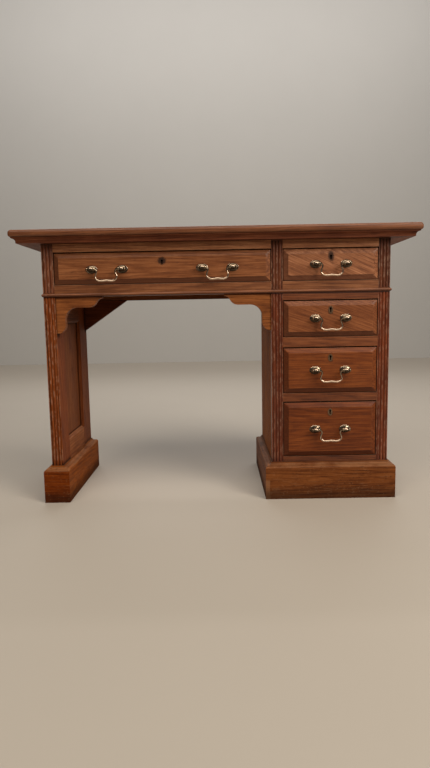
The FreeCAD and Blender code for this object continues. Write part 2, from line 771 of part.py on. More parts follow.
def post(x, z):
    """A ball-headed post with a cross bore for the bail and a shank through the drawer front."""
    ball = Part.makeSphere(BALL_R, point(x, Y_PIVOT, z))
    neck = Part.makeCylinder(NECK_R, PIVOT_OUT - ROSE_T, point(x, Y_PIVOT, z), ALONG_Y)
    shank_length = Y_DRAWER_INSIDE + NUT_T + SHANK_END - Y_PIVOT
    shank = Part.makeCylinder(SHANK_R, shank_length, point(x, Y_PIVOT, z), ALONG_Y)
    bore_length = 2 * BALL_R + 2 * CUT_PAST
    bore_start = point(x - BALL_R - CUT_PAST, Y_PIVOT, z)
    bore = Part.makeCylinder(PIN_R + PIN_PLAY, bore_length, bore_start, ALONG_X)
    return ball.fuse([neck, shank]).removeSplitter().cut(bore)


def nut(x, z):
    half = NUT_ACROSS / 2
    y = (Y_DRAWER_INSIDE, Y_DRAWER_INSIDE + NUT_T)
    block = box((x - half, x + half), y, (z - half, z + half))
    return block.cut(drilled(SHANK_R + NUT_PLAY, x, z, y))


def bail_path(x, z):
    """Half of the bail's centre line, from the post to the middle of the grip."""
    neck_x = POST_SPACING / 2 - BALL_R - BAIL_SHOULDER
    grip_x = neck_x - BAIL_NECK_RADIUS
    corner = BAIL_CORNER_RADIUS
    half_turn = math.atan2(BAIL_BUMP_H, BAIL_BUMP_W / 2)
    turn = 2 * half_turn
    bump_r = BAIL_BUMP_W / 4 / math.sin(turn)
    deep = math.sqrt(0.5)

    def at(across, down):
        return point(x + across, Y_PIVOT, z - down)

    neck_in = BAIL_NECK_RADIUS * (1 - deep)
    corner_in = corner * (1 - deep)
    neck_start = at(neck_x, 0)
    neck_end = at(grip_x, BAIL_NECK_RADIUS)
    corner_start = at(grip_x, BAIL_DROP - corner)
    corner_end = at(grip_x - corner, BAIL_DROP)
    bump_start = at(BAIL_BUMP_W / 2, BAIL_DROP)
    sag = bump_r * (1 - math.cos(half_turn))
    reach = bump_r * math.sin(half_turn)
    bump_middle = at(BAIL_BUMP_W / 4, BAIL_DROP - BAIL_BUMP_H / 2)
    crest = at(0, BAIL_DROP - BAIL_BUMP_H)
    return [
        arc_edge(neck_start, at(grip_x + neck_in, neck_in), neck_end),
        line_edge(neck_end, corner_start),
        arc_edge(corner_start, at(grip_x - corner_in, BAIL_DROP - corner_in), corner_end),
        line_edge(corner_end, bump_start),
        arc_edge(bump_start, at(BAIL_BUMP_W / 2 - reach, BAIL_DROP - sag), bump_middle),
        arc_edge(bump_middle, at(reach, BAIL_DROP - BAIL_BUMP_H + sag), crest),
    ]


def bail(x, z):
    """A swan-neck bail hanging from two posts."""
    neck_x = POST_SPACING / 2 - BALL_R - BAIL_SHOULDER
    start = point(x + neck_x, Y_PIVOT, z)
    section = Part.Wire(Part.makeCircle(BAIL_R, start, ALONG_X))
    half = Part.Wire(bail_path(x, z)).makePipeShell([section], True, False)
    pin_length = BAIL_SHOULDER + 2 * BALL_R - PIN_INSET
    pin = Part.makeCylinder(PIN_R, pin_length, start, ALONG_X)
    right = half.fuse(pin)
    left = right.mirror(point(x, Y_PIVOT, z), ALONG_X)
    return right.fuse(left).removeSplitter()


def drawer(name, opening):
    fittings = DRAWER_FITTINGS[name]
    x, z_front, z_box = drawer_ranges(opening)
    middle = (x[0] + x[1]) / 2
    z_handle = (opening["z"][0] + opening["z"][1]) / 2 - fittings["handle_drop"]
    z_key = opening["z"][1] - fittings["key_drop"]
    key_drop = z_front[1] - z_key

    left_x = (x[0], x[0] + BOX_T)
    right_x = (x[1] - BOX_T, x[1])
    y_box = (Y_DRAWER_INSIDE, Y_DRAWER_END)
    z_bottom = (z_box[0] + BOTTOM_RISE, z_box[0] + BOTTOM_RISE + BOTTOM_T)
    bottom = box(
        (left_x[1] - BOTTOM_GROOVE_D, right_x[0] + BOTTOM_GROOVE_D),
        (Y_DRAWER_INSIDE - BOTTOM_GROOVE_D, Y_DRAWER_END),
        z_bottom,
    )
    sides = []
    all_tails = []
    for side_x in (left_x, right_x):
        tails = dovetails(side_x, z_box, fittings["tails"])
        side = box(side_x, y_box, z_box).fuse(tails).removeSplitter()
        sides.append(side.cut(bottom))
        all_tails.extend(tails)
    back = box(
        (left_x[1], right_x[0]),
        (Y_DRAWER_END - BOX_T, Y_DRAWER_END),
        (z_bottom[1], z_box[1] - BOX_BACK_DROP),
    )

    lock = lock_case(middle, z_front[1], key_drop)
    key = keyhole(middle, z_key, (Y_FIELD, Y_DRAWER_INSIDE))
    posts = []
    holes = []
    for handle_x in opening["handles"]:
        for post_x in (handle_x - POST_SPACING / 2, handle_x + POST_SPACING / 2):
            posts.extend([post(post_x, z_handle), rose(post_x, z_handle), nut(post_x, z_handle)])
            holes.append(drilled(SHANK_R + SHANK_PLAY, post_x, z_handle, (Y_FIELD, Y_DRAWER_INSIDE)))

    front = raised_front(x, z_front).cut(all_tails + [bottom, lock, key] + holes)
    bolt_room = bolt_bar(middle, z_front[1], BOLT_PLAY)
    lock_pieces = [lock.cut([bolt_room, key])]
    if fittings["plate"]:
        lock_pieces.append(escutcheon(middle, z_key))

    node = name + "_drawer"
    save(node + "_front", [front])
    save(node + "_box", sides + [back])
    save(node + "_bottom", [bottom])
    save(node + "_mounts", posts)
    save(node + "_lock", lock_pieces)
    save(node + "_bolt", [bolt_bar(middle, z_front[1], 0.0)])
    for handle_x, ending in zip(opening["handles"], opening["bails"]):
        save(node + ending, [bail(handle_x, z_handle)])


def drawer_openings():
    """Where each drawer goes, the walls on either side of it and its handles."""
    long_x = (X_LEG, X_PEDESTAL)
    pedestal_x = (X_OPENING, X_OPENING_END)
    long_middle = (X_LEG + X_PEDESTAL) / 2
    middle = (X_OPENING + X_OPENING_END) / 2
    right_wall = X_RIGHT - SIDE_T
    frieze_z = (Z_FRIEZE_OPENING, Z_FRIEZE_OPENING_TOP)

    def pedestal_opening(z):
        walls = (X_PEDESTAL + SIDE_T, right_wall)
        return {"x": pedestal_x, "z": z, "walls": walls, "handles": (middle,), "bails": ("_bail",)}

    return {
        "long": {
            "x": long_x,
            "z": frieze_z,
            "walls": (X_LEFT + SIDE_T, X_PARTITION),
            "handles": (long_middle - LONG_HANDLE_OFFSET, long_middle + LONG_HANDLE_OFFSET),
            "bails": ("_bail_left", "_bail_right"),
        },
        "short": {
            "x": pedestal_x,
            "z": frieze_z,
            "walls": (X_PARTITION + SIDE_T, right_wall),
            "handles": (middle,),
            "bails": ("_bail",),
        },
        "upper": pedestal_opening((Z_UPPER, Z_UPPER_TOP)),
        "middle": pedestal_opening((Z_MIDDLE, Z_MIDDLE_TOP)),
        "deep": pedestal_opening((Z_PEDESTAL_OPENINGS, Z_DEEP_TOP)),
    }


def build():
    os.makedirs("parts", exist_ok=True)
    openings = drawer_openings()
    top_board()
    bed_moulding()
    frieze_stiles()
    frieze_boards()
    frieze_rails(openings)
    save("frieze_runners", drawer_bearers(openings["long"]) + drawer_bearers(openings["short"]))
    bead()
    pedestal_stiles()
    pedestal(openings)
    pedestal_bearers = []
    for name in ("upper", "middle", "deep"):
        pedestal_bearers.extend(drawer_bearers(openings[name]))
    save("pedestal_runners", pedestal_bearers)
    plinth("pedestal_plinth", (X_PEDESTAL, X_RIGHT))
    leg_frame()
    plinth("leg_plinth", (X_LEFT, X_LEG))
    bracket("bracket_left", X_LEG, 1.0)
    bracket("bracket_right", X_PEDESTAL, -1.0)
    rear_gusset()
    for name, opening in openings.items():
        drawer(name, opening)


build()
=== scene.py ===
import functools
import json
import math
import random

import bmesh
import bpy
from bpy.props import FloatProperty, FloatVectorProperty, IntProperty, PointerProperty
from mathutils import Matrix, Vector
from mathutils.bvhtree import BVHTree

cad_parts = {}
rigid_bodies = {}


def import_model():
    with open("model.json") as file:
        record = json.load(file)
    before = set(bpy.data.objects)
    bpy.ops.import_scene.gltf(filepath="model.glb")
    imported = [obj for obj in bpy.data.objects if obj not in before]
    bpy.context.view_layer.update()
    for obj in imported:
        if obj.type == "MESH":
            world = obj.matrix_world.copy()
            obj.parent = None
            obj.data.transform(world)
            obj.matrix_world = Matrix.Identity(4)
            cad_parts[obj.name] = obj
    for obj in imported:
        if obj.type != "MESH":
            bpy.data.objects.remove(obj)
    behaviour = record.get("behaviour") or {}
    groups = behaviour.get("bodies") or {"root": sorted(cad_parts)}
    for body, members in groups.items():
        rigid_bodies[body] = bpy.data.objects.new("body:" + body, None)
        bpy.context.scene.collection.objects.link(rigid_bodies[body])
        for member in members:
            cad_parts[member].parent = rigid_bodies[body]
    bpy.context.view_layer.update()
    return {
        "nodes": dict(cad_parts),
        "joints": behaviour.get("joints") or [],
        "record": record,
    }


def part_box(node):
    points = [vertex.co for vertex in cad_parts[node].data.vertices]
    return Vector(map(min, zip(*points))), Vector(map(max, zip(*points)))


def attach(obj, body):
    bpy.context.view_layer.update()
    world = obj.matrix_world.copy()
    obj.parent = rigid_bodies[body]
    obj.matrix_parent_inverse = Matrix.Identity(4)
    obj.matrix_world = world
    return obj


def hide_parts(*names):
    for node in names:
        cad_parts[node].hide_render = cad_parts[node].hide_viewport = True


bl_info = {
    "name": "Oak kneehole desk",
    "version": (1, 0, 0),
    "blender": (4, 5, 0),
    "location": "3D View > Sidebar > Desk",
    "description": "Finishes the desk in polished oak and antique brass and sets its stage",
    "category": "Object",
}

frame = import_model()

MM = 0.001
X, Y, Z = range(3)

SLOT_OF = {part["node"]: part["material_slot"] for part in frame["record"]["subparts"]}
BODY_OF = {node: body for body, nodes in frame["record"]["behaviour"]["bodies"].items() for node in nodes}

# Nodes whose boards meet at mitres
MITRED = ("bed_moulding", "bead", "pedestal_plinth", "leg_plinth")

# Each drawer's tint, the slant of its grain in radians and the reach of a stain round its keyhole
DRAWERS = {
    "long": ((1.12, 1.02, 1.04), 0.0, (12.5 * MM, 12.0 * MM)),
    "short": ((1.58, 1.66, 2.2), 0.4, (9.0 * MM, 16.0 * MM)),
    "upper": ((0.92, 0.75, 0.7), 0.32, None),
    "middle": ((0.86, 0.57, 0.32), 0.0, None),
    "deep": ((0.82, 0.51, 0.24), 0.0, None),
}
KEYHOLE_RISE = 14.0 * MM  # from the foot of a lock

# Corners closer together than WELD are one, and what lies within NEAR of a cut is on it
WELD = 0.002 * MM
NEAR = 1e-6

# Faces within FLAT of one another are joined, and long arrises sharper than OUTER are eased
FLAT = math.radians(0.4)
OUTER = math.radians(35.0)
SHORTEST_ARRIS = 3.0 * MM
SHORTEST_METAL_ARRIS = 0.3 * MM

# Faces that meet at more than this are shaded apart, the second on posts and screws
SHARP = math.radians(50.0)
SHARP_TURNED = math.radians(38.0)

# Extra cuts across a board, measured from its ends
END_CUTS = (2.0 * MM, 6.0 * MM, 12.0 * MM)

# Features to the metre of the patterns in the wood, along, across and through the grain
SWAY = (1.8, 7, 7)
FIGURE = (1.1, 17, 17)
STREAKS = (9, 330, 330)
FIBRE = (14, 900, 900)
PORES = (70, 1500, 1500)

# Features to the metre of the patterns of wear, along X, Y and Z
PATCHES = (16, 16, 16)
FLECKS = (220, 220, 70)
SCRATCHES = (18, 18, 460)
KNOCKS = (150, 150, 210)
MARKS = (95, 95, 160)
BLOTCHES = (240, 240, 240)
TARNISH = (170, 170, 170)
PITTING = (1400, 1400, 1400)
LOCK_TARNISH = (120, 120, 120)
BRUSHING = (60, 900, 900)
RUST = (90, 90, 90)
CLOUDS = (3, 3, 3)

# A post's line in mm: out from the back and then the front of a drawer's front, and radius
SHANK = ((6.0, 2.0), (5.5, 2.5))
STEM = ((3.0, 2.5), (3.0, 5.6), (3.8, 6.0), (4.6, 5.6), (5.2, 4.3), (6.8, 3.7), (8.6, 3.6))
HEAD_ARC = math.radians(150.0)
POST_WIDE = 1.32
POST_HIGH = 0.94

# A rose's section: out from the drawer's front in mm, and share of the half width
ROSE = (
    (0.0, 1.0), (0.7, 1.0), (1.3, 0.975), (1.6, 0.93), (1.4, 0.88), (1.0, 0.84), (1.1, 0.79), (1.9, 0.7),
    (2.6, 0.56), (3.0, 0.42), (3.05, 0.3),
)
NUT = (10.0 * MM, 4.0 * MM, 10.0 * MM)
NUT_EASE = 0.7 * MM

# Half of a bail's line in mm, across from its middle and down from its pivot, and its post's place
BAIL_LINE = (
    (54.5, 0.0), (50.5, 0.0), (44.0, 0.0), (35.0, 0.0), (31.0, 0.3), (27.6, 2.0), (25.7, 5.4), (26.0, 10.0),
    (28.2, 15.5), (29.4, 20.5), (28.0, 25.6), (23.8, 29.8), (18.0, 31.8), (11.5, 32.0), (5.5, 31.4),
    (0.0, 30.8),
)
BAIL_HALF = 42.0 * MM

# A bail's thickness from end to middle, as shares of the half length and of the knuckle's radius
BAIL_OUTLINE = (
    (0.0, 0.12), (0.005, 0.5), (0.018, 0.84), (0.038, 0.94), (0.056, 0.8), (0.068, 0.5), (0.195, 0.5),
    (0.212, 0.84), (0.24, 1.0), (0.275, 0.84), (0.32, 0.58), (0.38, 0.44), (0.6, 0.44), (0.72, 0.5),
    (0.85, 0.54), (0.93, 0.57), (1.0, 0.58),
)

# A lock's four screws: aside from its bolt, up from its foot and down from its head
SCREW_ASIDE = 14.0 * MM
SCREW_UP = 5.0 * MM
SCREW_DOWN = 12.0 * MM

# Sides and steps of the turned pieces, and directions tried for hollows
POST_SIDES = 40
ROSE_SIDES = 56
SCREW_SIDES = 20
BAIL_SIDES = 16
BAIL_RINGS = 260
HEAD_STEPS = 14
LOCK_RAYS = 16
POST_RAYS = 24

# Each light's place, its aim, its width and height in metres, and its tone
LIGHTS = {
    "overhead": ((0.2, -1.4, 2.8), (0.0, 0.0, 0.4), (3.6, 1.6), (1.0, 0.93, 0.82)),
    "front": ((2.2, -2.4, 2.0), (0.0, 0.0, 0.4), (1.3, 1.0), (1.0, 0.94, 0.85)),
    "window": ((0.0, 2.4, 1.9), (0.0, 0.0, 0.4), (3.4, 1.4), (0.94, 0.97, 1.0)),
    "wash": ((0.0, 2.6, 4.2), (0.0, 4.5, 1.4), (6.0, 0.8), (1.0, 0.98, 0.96)),
}

# Corners of the stage's two sheets in metres
FLOOR = ((-20.0, -20.0, 0.0), (20.0, -20.0, 0.0), (20.0, 20.0, 0.0), (-20.0, 20.0, 0.0))
BACKDROP = ((-9.0, 4.5, 0.0), (9.0, 4.5, 0.0), (9.0, 4.5, 7.0), (-9.0, 4.5, 7.0))


def setting(kind, name, description, default, **more):
    return kind(name=name, description=description, default=default, **more)


colour = functools.partial(setting, FloatVectorProperty, subtype="COLOR")
length = functools.partial(setting, FloatProperty, unit="LENGTH", precision=5)
power = functools.partial(setting, FloatProperty, unit="POWER")
turn = functools.partial(setting, FloatProperty, unit="ROTATION")
number = functools.partial(setting, FloatProperty)


class DeskWood(bpy.types.PropertyGroup):
    """The oak and its polish"""

    light: colour("Light oak", "Its palest streaks", (0.33, 0.135, 0.048))
    middle: colour("Middle oak", "Most of the oak", (0.186, 0.063, 0.019))
    # The dark tone is also laid as painted shade on faces that look down or to the left
    dark: colour("Dark oak", "Its darkest streaks", (0.078, 0.023, 0.008))
    pore: colour("Pores", "Dark open grain", (0.03, 0.01, 0.005))
    # The worn colour is also the painted highlight on the tops of the plinths
    wear_and_highlight: colour("Worn arris", "Oak rubbed bare", (0.36, 0.185, 0.09))
    crest: colour("Crest", "Pale flecks on the reeds", (0.41, 0.245, 0.16))
    # The dirt colour also paints shade into closed-in corners
    dirt_and_shade: colour("Dirt", "Dirt in the corners", (0.018, 0.008, 0.005))
    lining_light: colour("Light lining", "Its palest streaks", (0.47, 0.31, 0.17))
    lining_middle: colour("Middle lining", "Most of the bare wood", (0.34, 0.205, 0.105))
    lining_dark: colour("Dark lining", "Its darkest streaks", (0.2, 0.11, 0.05))
    ease: length("Eased arris", "Width of the rounding", 0.0008)
    ring: length("Year ring", "Spacing of the year rings", 0.0065)
    sway: length("Sway", "How far the rings stray from round", 0.03)
    taper: number("Taper", "Slope of the rings along the trunk", 0.045)
    plank: length("Plank", "Width of a wide board's planks", 0.13)
    cell: length("Cell", "Spacing of the marks kept on a board", 0.02)
    # How far and in how many directions rays look for closed-in corners, where dirt and painted shade lie
    occlusion_reach: length("Dirt reach", "How far from a corner dirt gathers", 0.03)
    occlusion_rays: setting(IntProperty, "Dirt rays", "Directions tried at each mark", 16, min=4)


class DeskBrass(bpy.types.PropertyGroup):
    """The handles and locks"""

    # Bright brass is also the painted highlight on the posts' rims and head tops
    bright: colour("Bright brass", "Brass where hands rub it", (0.68, 0.505, 0.37))
    aged: colour("Aged brass", "Brass that hands miss", (0.3, 0.225, 0.15))
    # Dull brass is also the painted shade low on the posts
    dull: colour("Dull brass", "Tarnish on the brass", (0.045, 0.032, 0.02))
    plate: colour("Keyhole plate", "Dark brass of the plates", (0.21, 0.125, 0.07))
    steel: colour("Lock steel", "Bolts and screws of the locks", (0.3, 0.29, 0.28))
    post_spacing: length("Post spacing", "Distance between a handle's posts", 0.084)
    ball: length("Ball", "Radius of a post's head", 0.0066)
    rose_width: length("Rose width", "Width of the oval rose", 0.033)
    rose_height: length("Rose height", "Height of the oval rose", 0.022)
    boss: length("Boss", "Radius of a bail's knuckle", 0.0052)
    ease: length("Eased metal", "Width of the rounding on a lock", 0.00025)
    screw: length("Screw", "Radius of a lock screw's head", 0.0026)
    occlusion_reach: length("Dirt reach", "How far from a hollow tarnish gathers", 0.018)


class DeskStage(bpy.types.PropertyGroup):
    """The floor, the light and the camera"""

    floor: colour("Floor", "Plain pale floor", (0.52, 0.46, 0.39))
    backdrop: colour("Backdrop", "Plain pale wall behind", (0.62, 0.6, 0.57))
    sky: colour("Surround", "Plain light from all round", (0.92, 0.87, 0.8))
    sky_strength: number("Surround strength", "Light from all round", 0.15)
    overhead: power("Overhead", "Light from above the front", 62.0)
    front: power("Front", "Light from behind the camera", 46.0)
    window: power("Window", "Light from behind the desk", 18.0)
    wash: power("Wash", "Light on the backdrop", 70.0)
    camera_place: setting(
        FloatVectorProperty, "Camera", "Where the camera stands", (0.0006, -1.8005, 0.5327), unit="LENGTH",
    )
    camera_yaw: turn("Yaw", "Turn to the left", math.radians(0.312))
    camera_pitch: turn("Pitch", "Tilt up", math.radians(-7.07))
    camera_roll: turn("Roll", "Turn about the view", math.radians(-1.049))
    lens: number("Lens", "Focal length in mm on a 36 mm frame", 27.047)


GROUPS = {"desk_wood": DeskWood, "desk_brass": DeskBrass, "desk_stage": DeskStage}


# Node trees


def expression(operation, reflected=False):
    """An operator that adds a Math node."""

    def result(self, other):
        first, second = (other, self) if reflected else (self, other)
        return self.nodes.math(operation, first, second)

    return result


class Shade:
    """A socket that can stand in an expression."""

    def __init__(self, nodes, socket):
        self.nodes = nodes
        self.socket = socket

    __add__ = expression("ADD")
    __radd__ = expression("ADD", reflected=True)
    __sub__ = expression("SUBTRACT")
    __rsub__ = expression("SUBTRACT", reflected=True)
    __mul__ = expression("MULTIPLY")
    __rmul__ = expression("MULTIPLY", reflected=True)
    __truediv__ = expression("DIVIDE")
    __rtruediv__ = expression("DIVIDE", reflected=True)
    __pow__ = expression("POWER")
    __rpow__ = expression("POWER", reflected=True)


class Nodes:
    """A node tree that grows by calls and expressions."""

    def __init__(self, tree):
        self.tree = tree

    def add(self, kind, inputs=None, out=0, **settings):
        """Add a node, make its settings, then give its sockets their values or links."""
        node = self.tree.nodes.new(kind)
        for key, value in settings.items():
            if key == "stops":
                self.set_stops(node.color_ramp, value)
            elif key == "outline":
                self.set_outline(node.mapping, value)
            else:
                setattr(node, key, value)
        for key, value in (inputs or {}).items():
            if isinstance(value, Shade):
                self.tree.links.new(value.socket, node.inputs[key])
            else:
                node.inputs[key].default_value = value
        return Shade(self, node.outputs[out]) if node.outputs else None

    def set_stops(self, ramp, stops):
        while len(ramp.elements) < len(stops):
            ramp.elements.new(1.0)
        for element, (place, tone) in zip(ramp.elements, stops):
            element.position = place
            element.color = (*tone, 1.0)

    def set_outline(self, mapping, points):
        line = mapping.curves[0]
        while len(line.points) < len(points):
            line.points.new(0.5, 0.5)
        for point, place in zip(line.points, points):
            point.location = place
        mapping.update()

    def math(self, operation, first, second=0.0):
        return self.add("ShaderNodeMath", {0: first, 1: second}, operation=operation)


class Paint(Nodes):
    """A material and the nodes that colour it."""

    def __init__(self, name):
        self.material = bpy.data.materials.new(name)
        self.material.use_nodes = True
        super().__init__(self.material.node_tree)
        self.tree.nodes.clear()
        self.spot = self.add("ShaderNodeTexCoord", out="Object")

    def mark(self, name, out="Fac"):
        return self.add("ShaderNodeAttribute", out=out, attribute_name=name)

    def split(self, vector):
        parts = self.add("ShaderNodeSeparateXYZ", {0: vector}).socket.node
        return [Shade(self, socket) for socket in parts.outputs]

    def smooth(self, value, low, high):
        """0 below low, 1 above high and an even curve between them."""
        inputs = {"Value": value, "From Min": low, "From Max": high}
        return self.add("ShaderNodeMapRange", inputs, interpolation_type="SMOOTHSTEP")

    def noise(self, fineness, detail=2.0, roughness=0.5, vector=None):
        scaled = self.add("ShaderNodeVectorMath", {0: vector or self.spot, 1: fineness}, operation="MULTIPLY")
        inputs = {"Vector": scaled, "Scale": 1.0, "Detail": detail, "Roughness": roughness}
        return self.add("ShaderNodeTexNoise", inputs)

    def mix(self, share, first, second, blend="MIX"):
        first = first if isinstance(first, Shade) else (*first, 1.0)
        second = second if isinstance(second, Shade) else (*second, 1.0)
        inputs = {0: share, 6: first, 7: second}
        return self.add("ShaderNodeMix", inputs, 2, data_type="RGBA", blend_type=blend)

    def bump(self, height, strength, distance):
        inputs = {"Height": height, "Strength": strength, "Distance": distance}
        return self.add("ShaderNodeBump", inputs)

    def surface(self, inputs):
        shader = self.add("ShaderNodeBsdfPrincipled", inputs)
        self.add("ShaderNodeOutputMaterial", {"Surface": shader})
        return self.material


class Tree(Nodes):
    """A geometry node tree with named inputs, one geometry in and one out."""

    def __init__(self, name, inputs):
        super().__init__(bpy.data.node_groups.new(name, "GeometryNodeTree"))
        sockets = self.tree.interface
        for label, kind in (("Geometry", "Geometry"), *inputs, ("Material", "Material")):
            sockets.new_socket(label, in_out="INPUT", socket_type="NodeSocket" + kind)
        sockets.new_socket("Geometry", in_out="OUTPUT", socket_type="NodeSocketGeometry")
        group = self.add("NodeGroupInput").socket.node
        self.given = {socket.name: Shade(self, socket) for socket in group.outputs}

    def end(self, geometry):
        """Make all copies real and give them the material."""
        real = self.add("GeometryNodeRealizeInstances", {"Geometry": geometry})
        inputs = {"Geometry": real, "Material": self.given["Material"]}
        self.add("NodeGroupOutput", {"Geometry": self.add("GeometryNodeSetMaterial", inputs)})
        return self.tree


# Wood


class WoodPaint(Paint):
    """Wood on each board's own grain, with wear and dirt laid on it, and painted light and shade."""

    def __init__(self, name, tones, tint, gloss):
        super().__init__(name)
        self.look = bpy.context.scene.desk_wood
        light, middle, dark = [tuple(part * share for part, share in zip(tone, tint)) for tone in tones]
        self.dark = dark
        self.gloss = gloss
        self.dirt_and_shade = 0.0
        self.grime = self.mark("grime")
        self.patches = self.noise(PATCHES, 4.0, 0.6)
        self.uneven = self.patches - 0.5

        grain = self.mark("grain", "Vector")
        along, across, through = self.split(grain)
        sway = self.noise(SWAY, vector=grain)
        heart = (across * across + through * through) ** 0.5
        rings = (heart + along * self.look.taper + (sway - 0.5) * self.look.sway) / self.look.ring
        year = self.math("FRACT", rings)
        self.early = self.smooth(year, 0.0, 0.14) * (1.0 - self.smooth(year, 0.16, 0.75))
        figure = self.noise(FIGURE, 4.0, 0.6, vector=grain)
        streaks = self.noise(STREAKS, 3.0, 0.65, vector=grain)
        self.fibre = self.noise(FIBRE, 3.0, 0.6, vector=grain)
        pores = self.smooth(self.noise(PORES, 1.0, vector=grain), 0.55, 0.7)
        self.pores = pores * (0.25 + 0.75 * self.early)

        tone = 0.56 + (figure - 0.5) * 0.6 + (streaks - 0.5) * 1.25 + (self.fibre - 0.5) * 0.9
        tone = tone - self.early * 0.12 + (self.mark("board") - 0.5) * 0.3 + self.uneven * 0.45
        stops = ((0.1, dark), (0.52, middle), (0.95, light))
        self.shade = self.add("ShaderNodeValToRGB", {"Fac": tone}, stops=stops)
        self.lay(self.pores * 0.62, self.look.pore)
        self.roughness = 0.6 - gloss * 0.6 + self.pores * 0.2 + self.uneven * 0.16

    def lay(self, share, tone):
        """Cover a share of the wood with a tone."""
        self.shade = self.mix(share, self.shade, tone)

    def soil(self, share):
        """Let the dirt lie at least as thick as a share."""
        self.dirt_and_shade = self.math("MAXIMUM", self.dirt_and_shade, share)

    def facing(self):
        return self.split(self.mark("facing", "Vector"))

    def fleck_reeds(self, crested):
        """Pale flecks where a reed looks to the front: wear on its crests and a painted highlight."""
        ahead = self.smooth(0.0 - self.facing()[Y], 0.8, 0.95)
        flecks = self.smooth(self.noise(FLECKS, 3.0, 0.65), 0.46, 0.62)
        self.lay((1.0 - self.smooth(self.grime, 0.01, 0.14)) * ahead * flecks * crested, self.look.crest)

    def set_apart(self, axis, start, tint):
        """Tint what lies beyond a place on an axis."""
        beyond = self.smooth(self.split(self.spot)[axis], start - MM, start + MM)
        self.shade = self.mix(1.0, self.shade, self.mix(beyond, (1.0, 1.0, 1.0), tint), "MULTIPLY")

    def rub_arrises(self, rubbed):
        self.lay(self.mark("arris") * self.smooth(self.patches, 0.38, 0.62) * rubbed, self.look.wear_and_highlight)

    def darken_corners(self, soiled, closest):
        """Dirt and painted shade, thickest in the closest corners."""
        self.dirt_and_shade = self.smooth(self.grime, 0.1, closest) * (0.45 + self.patches) * soiled

    def paint_lee_shade(self, shaded):
        """Painted shade: darken what looks down or to the left, away from the lamps."""
        sideways, _, upwards = self.facing()
        lee = self.math("MAXIMUM", 0.0 - upwards, sideways * -0.85)
        self.lay(self.smooth(lee, 0.1, 0.36) * (0.75 + self.patches * 0.5) * shaded, self.dark)

    def scuff(self, scuffed, bare_end):
        """Wear near the floor, a painted highlight on the faces that look up and a pale place at the bare
        end.
        """
        wear_and_highlight = self.look.wear_and_highlight
        east, north, height = self.split(self.spot)
        foot = 1.0 - self.smooth(height + self.uneven * 0.02, 0.008, 0.046)
        low_down = 1.0 - self.smooth(height, 0.02, 0.095)
        scratches = self.smooth(self.noise(SCRATCHES), 0.62, 0.7) * low_down
        knocks = self.smooth(self.noise(KNOCKS, 3.0, 0.6), 0.58, 0.68)
        # Painted highlight on the faces that look up
        top_highlight = self.smooth(self.facing()[Z], 0.2, 0.6) * self.smooth(self.patches, 0.3, 0.6)
        self.soil(foot * scuffed)
        self.lay(scratches * 0.4, wear_and_highlight)
        self.lay(knocks * (0.15 + foot * 0.3), wear_and_highlight)
        self.lay(top_highlight * 0.35, wear_and_highlight)
        if bare_end:
            aside = 1.0 - self.smooth(east + self.uneven * 0.006, bare_end.x + 0.01, bare_end.x + 0.013)
            in_front = 1.0 - self.smooth(north, bare_end.y + 0.002, bare_end.y + 0.004)
            below = 1.0 - self.smooth(height + self.uneven * 0.012, 0.052, 0.058)
            self.lay(aside * in_front * below * 0.4, wear_and_highlight)
        marks = self.smooth(self.noise(MARKS, 3.0, 0.6), 0.6, 0.72)
        self.soil(marks * 0.45)
        self.roughness = self.roughness + foot * 0.2

    def stain(self, x, z, wide, high):
        """A dark place round a keyhole."""
        east, _, height = self.split(self.spot)
        aside = (east - x) / wide
        above = (height - z) / high
        away = (aside * aside + above * above) ** 0.5 + (self.noise(BLOTCHES) - 0.5) * 0.7
        self.soil((1.0 - self.smooth(away, 0.55, 1.15)) * 0.9)

    def finished(self, polish):
        # Dirt and painted shade take the dirt colour
        self.lay(self.dirt_and_shade, self.look.dirt_and_shade)
        return self.surface({
            "Base Color": self.shade,
            "Roughness": self.roughness + self.dirt_and_shade * 0.18,
            "Specular IOR Level": self.gloss,
            "Coat Weight": polish * (1.0 - self.dirt_and_shade * 0.7) if polish else 0.0,
            "Coat Roughness": 0.24,
            "Coat IOR": 1.36,
            "Normal": self.bump(0.35 * self.fibre - 0.8 * self.pores - 0.25 * self.early, 0.22, 0.0004),
        })


def wood(
    name, tones, polish=0.25, gloss=0.3, tint=(1.0, 1.0, 1.0), rubbed=0.45, soiled=0.9, crested=0.0,
    shaded=0.0, scuffed=0.0, bare_end=None, stain=None, apart=None,
):
    """Wood in a light, a middle and a dark tone, which the tint multiplies.

    Polish is the weight of the clear coat, and gloss is the shine of the wood under it. The other settings
    are what the methods of WoodPaint need.
    """
    paint = WoodPaint(name, tones, tint, gloss)
    if crested:
        paint.fleck_reeds(crested)
    if apart:
        paint.set_apart(*apart)
    paint.rub_arrises(rubbed)
    # Dirt and painted shade in closed-in corners; on reeds they reach full strength sooner
    paint.darken_corners(soiled, 0.6 if crested else 0.8)
    if shaded:
        paint.paint_lee_shade(shaded)
    if scuffed:
        paint.scuff(scuffed, bare_end)
    if stain:
        paint.stain(*stain)
    return paint.finished(polish)


def oak(name, **finish):
    look = bpy.context.scene.desk_wood
    return wood(name, (look.light, look.middle, look.dark), **finish)


def lining(name):
    look = bpy.context.scene.desk_wood
    tones = (look.lining_light, look.lining_middle, look.lining_dark)
    return wood(name, tones, polish=0.0, rubbed=0.2, soiled=0.6)


def bead_shadow_band():
    """The tint of a painted shadow just under the bead."""
    return Z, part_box("bead")[0].z - 3.0 * MM, (0.34, 0.28, 0.28)


def middle_of(node, axis):
    low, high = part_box(node)
    return (low[axis] + high[axis]) / 2


# Boards


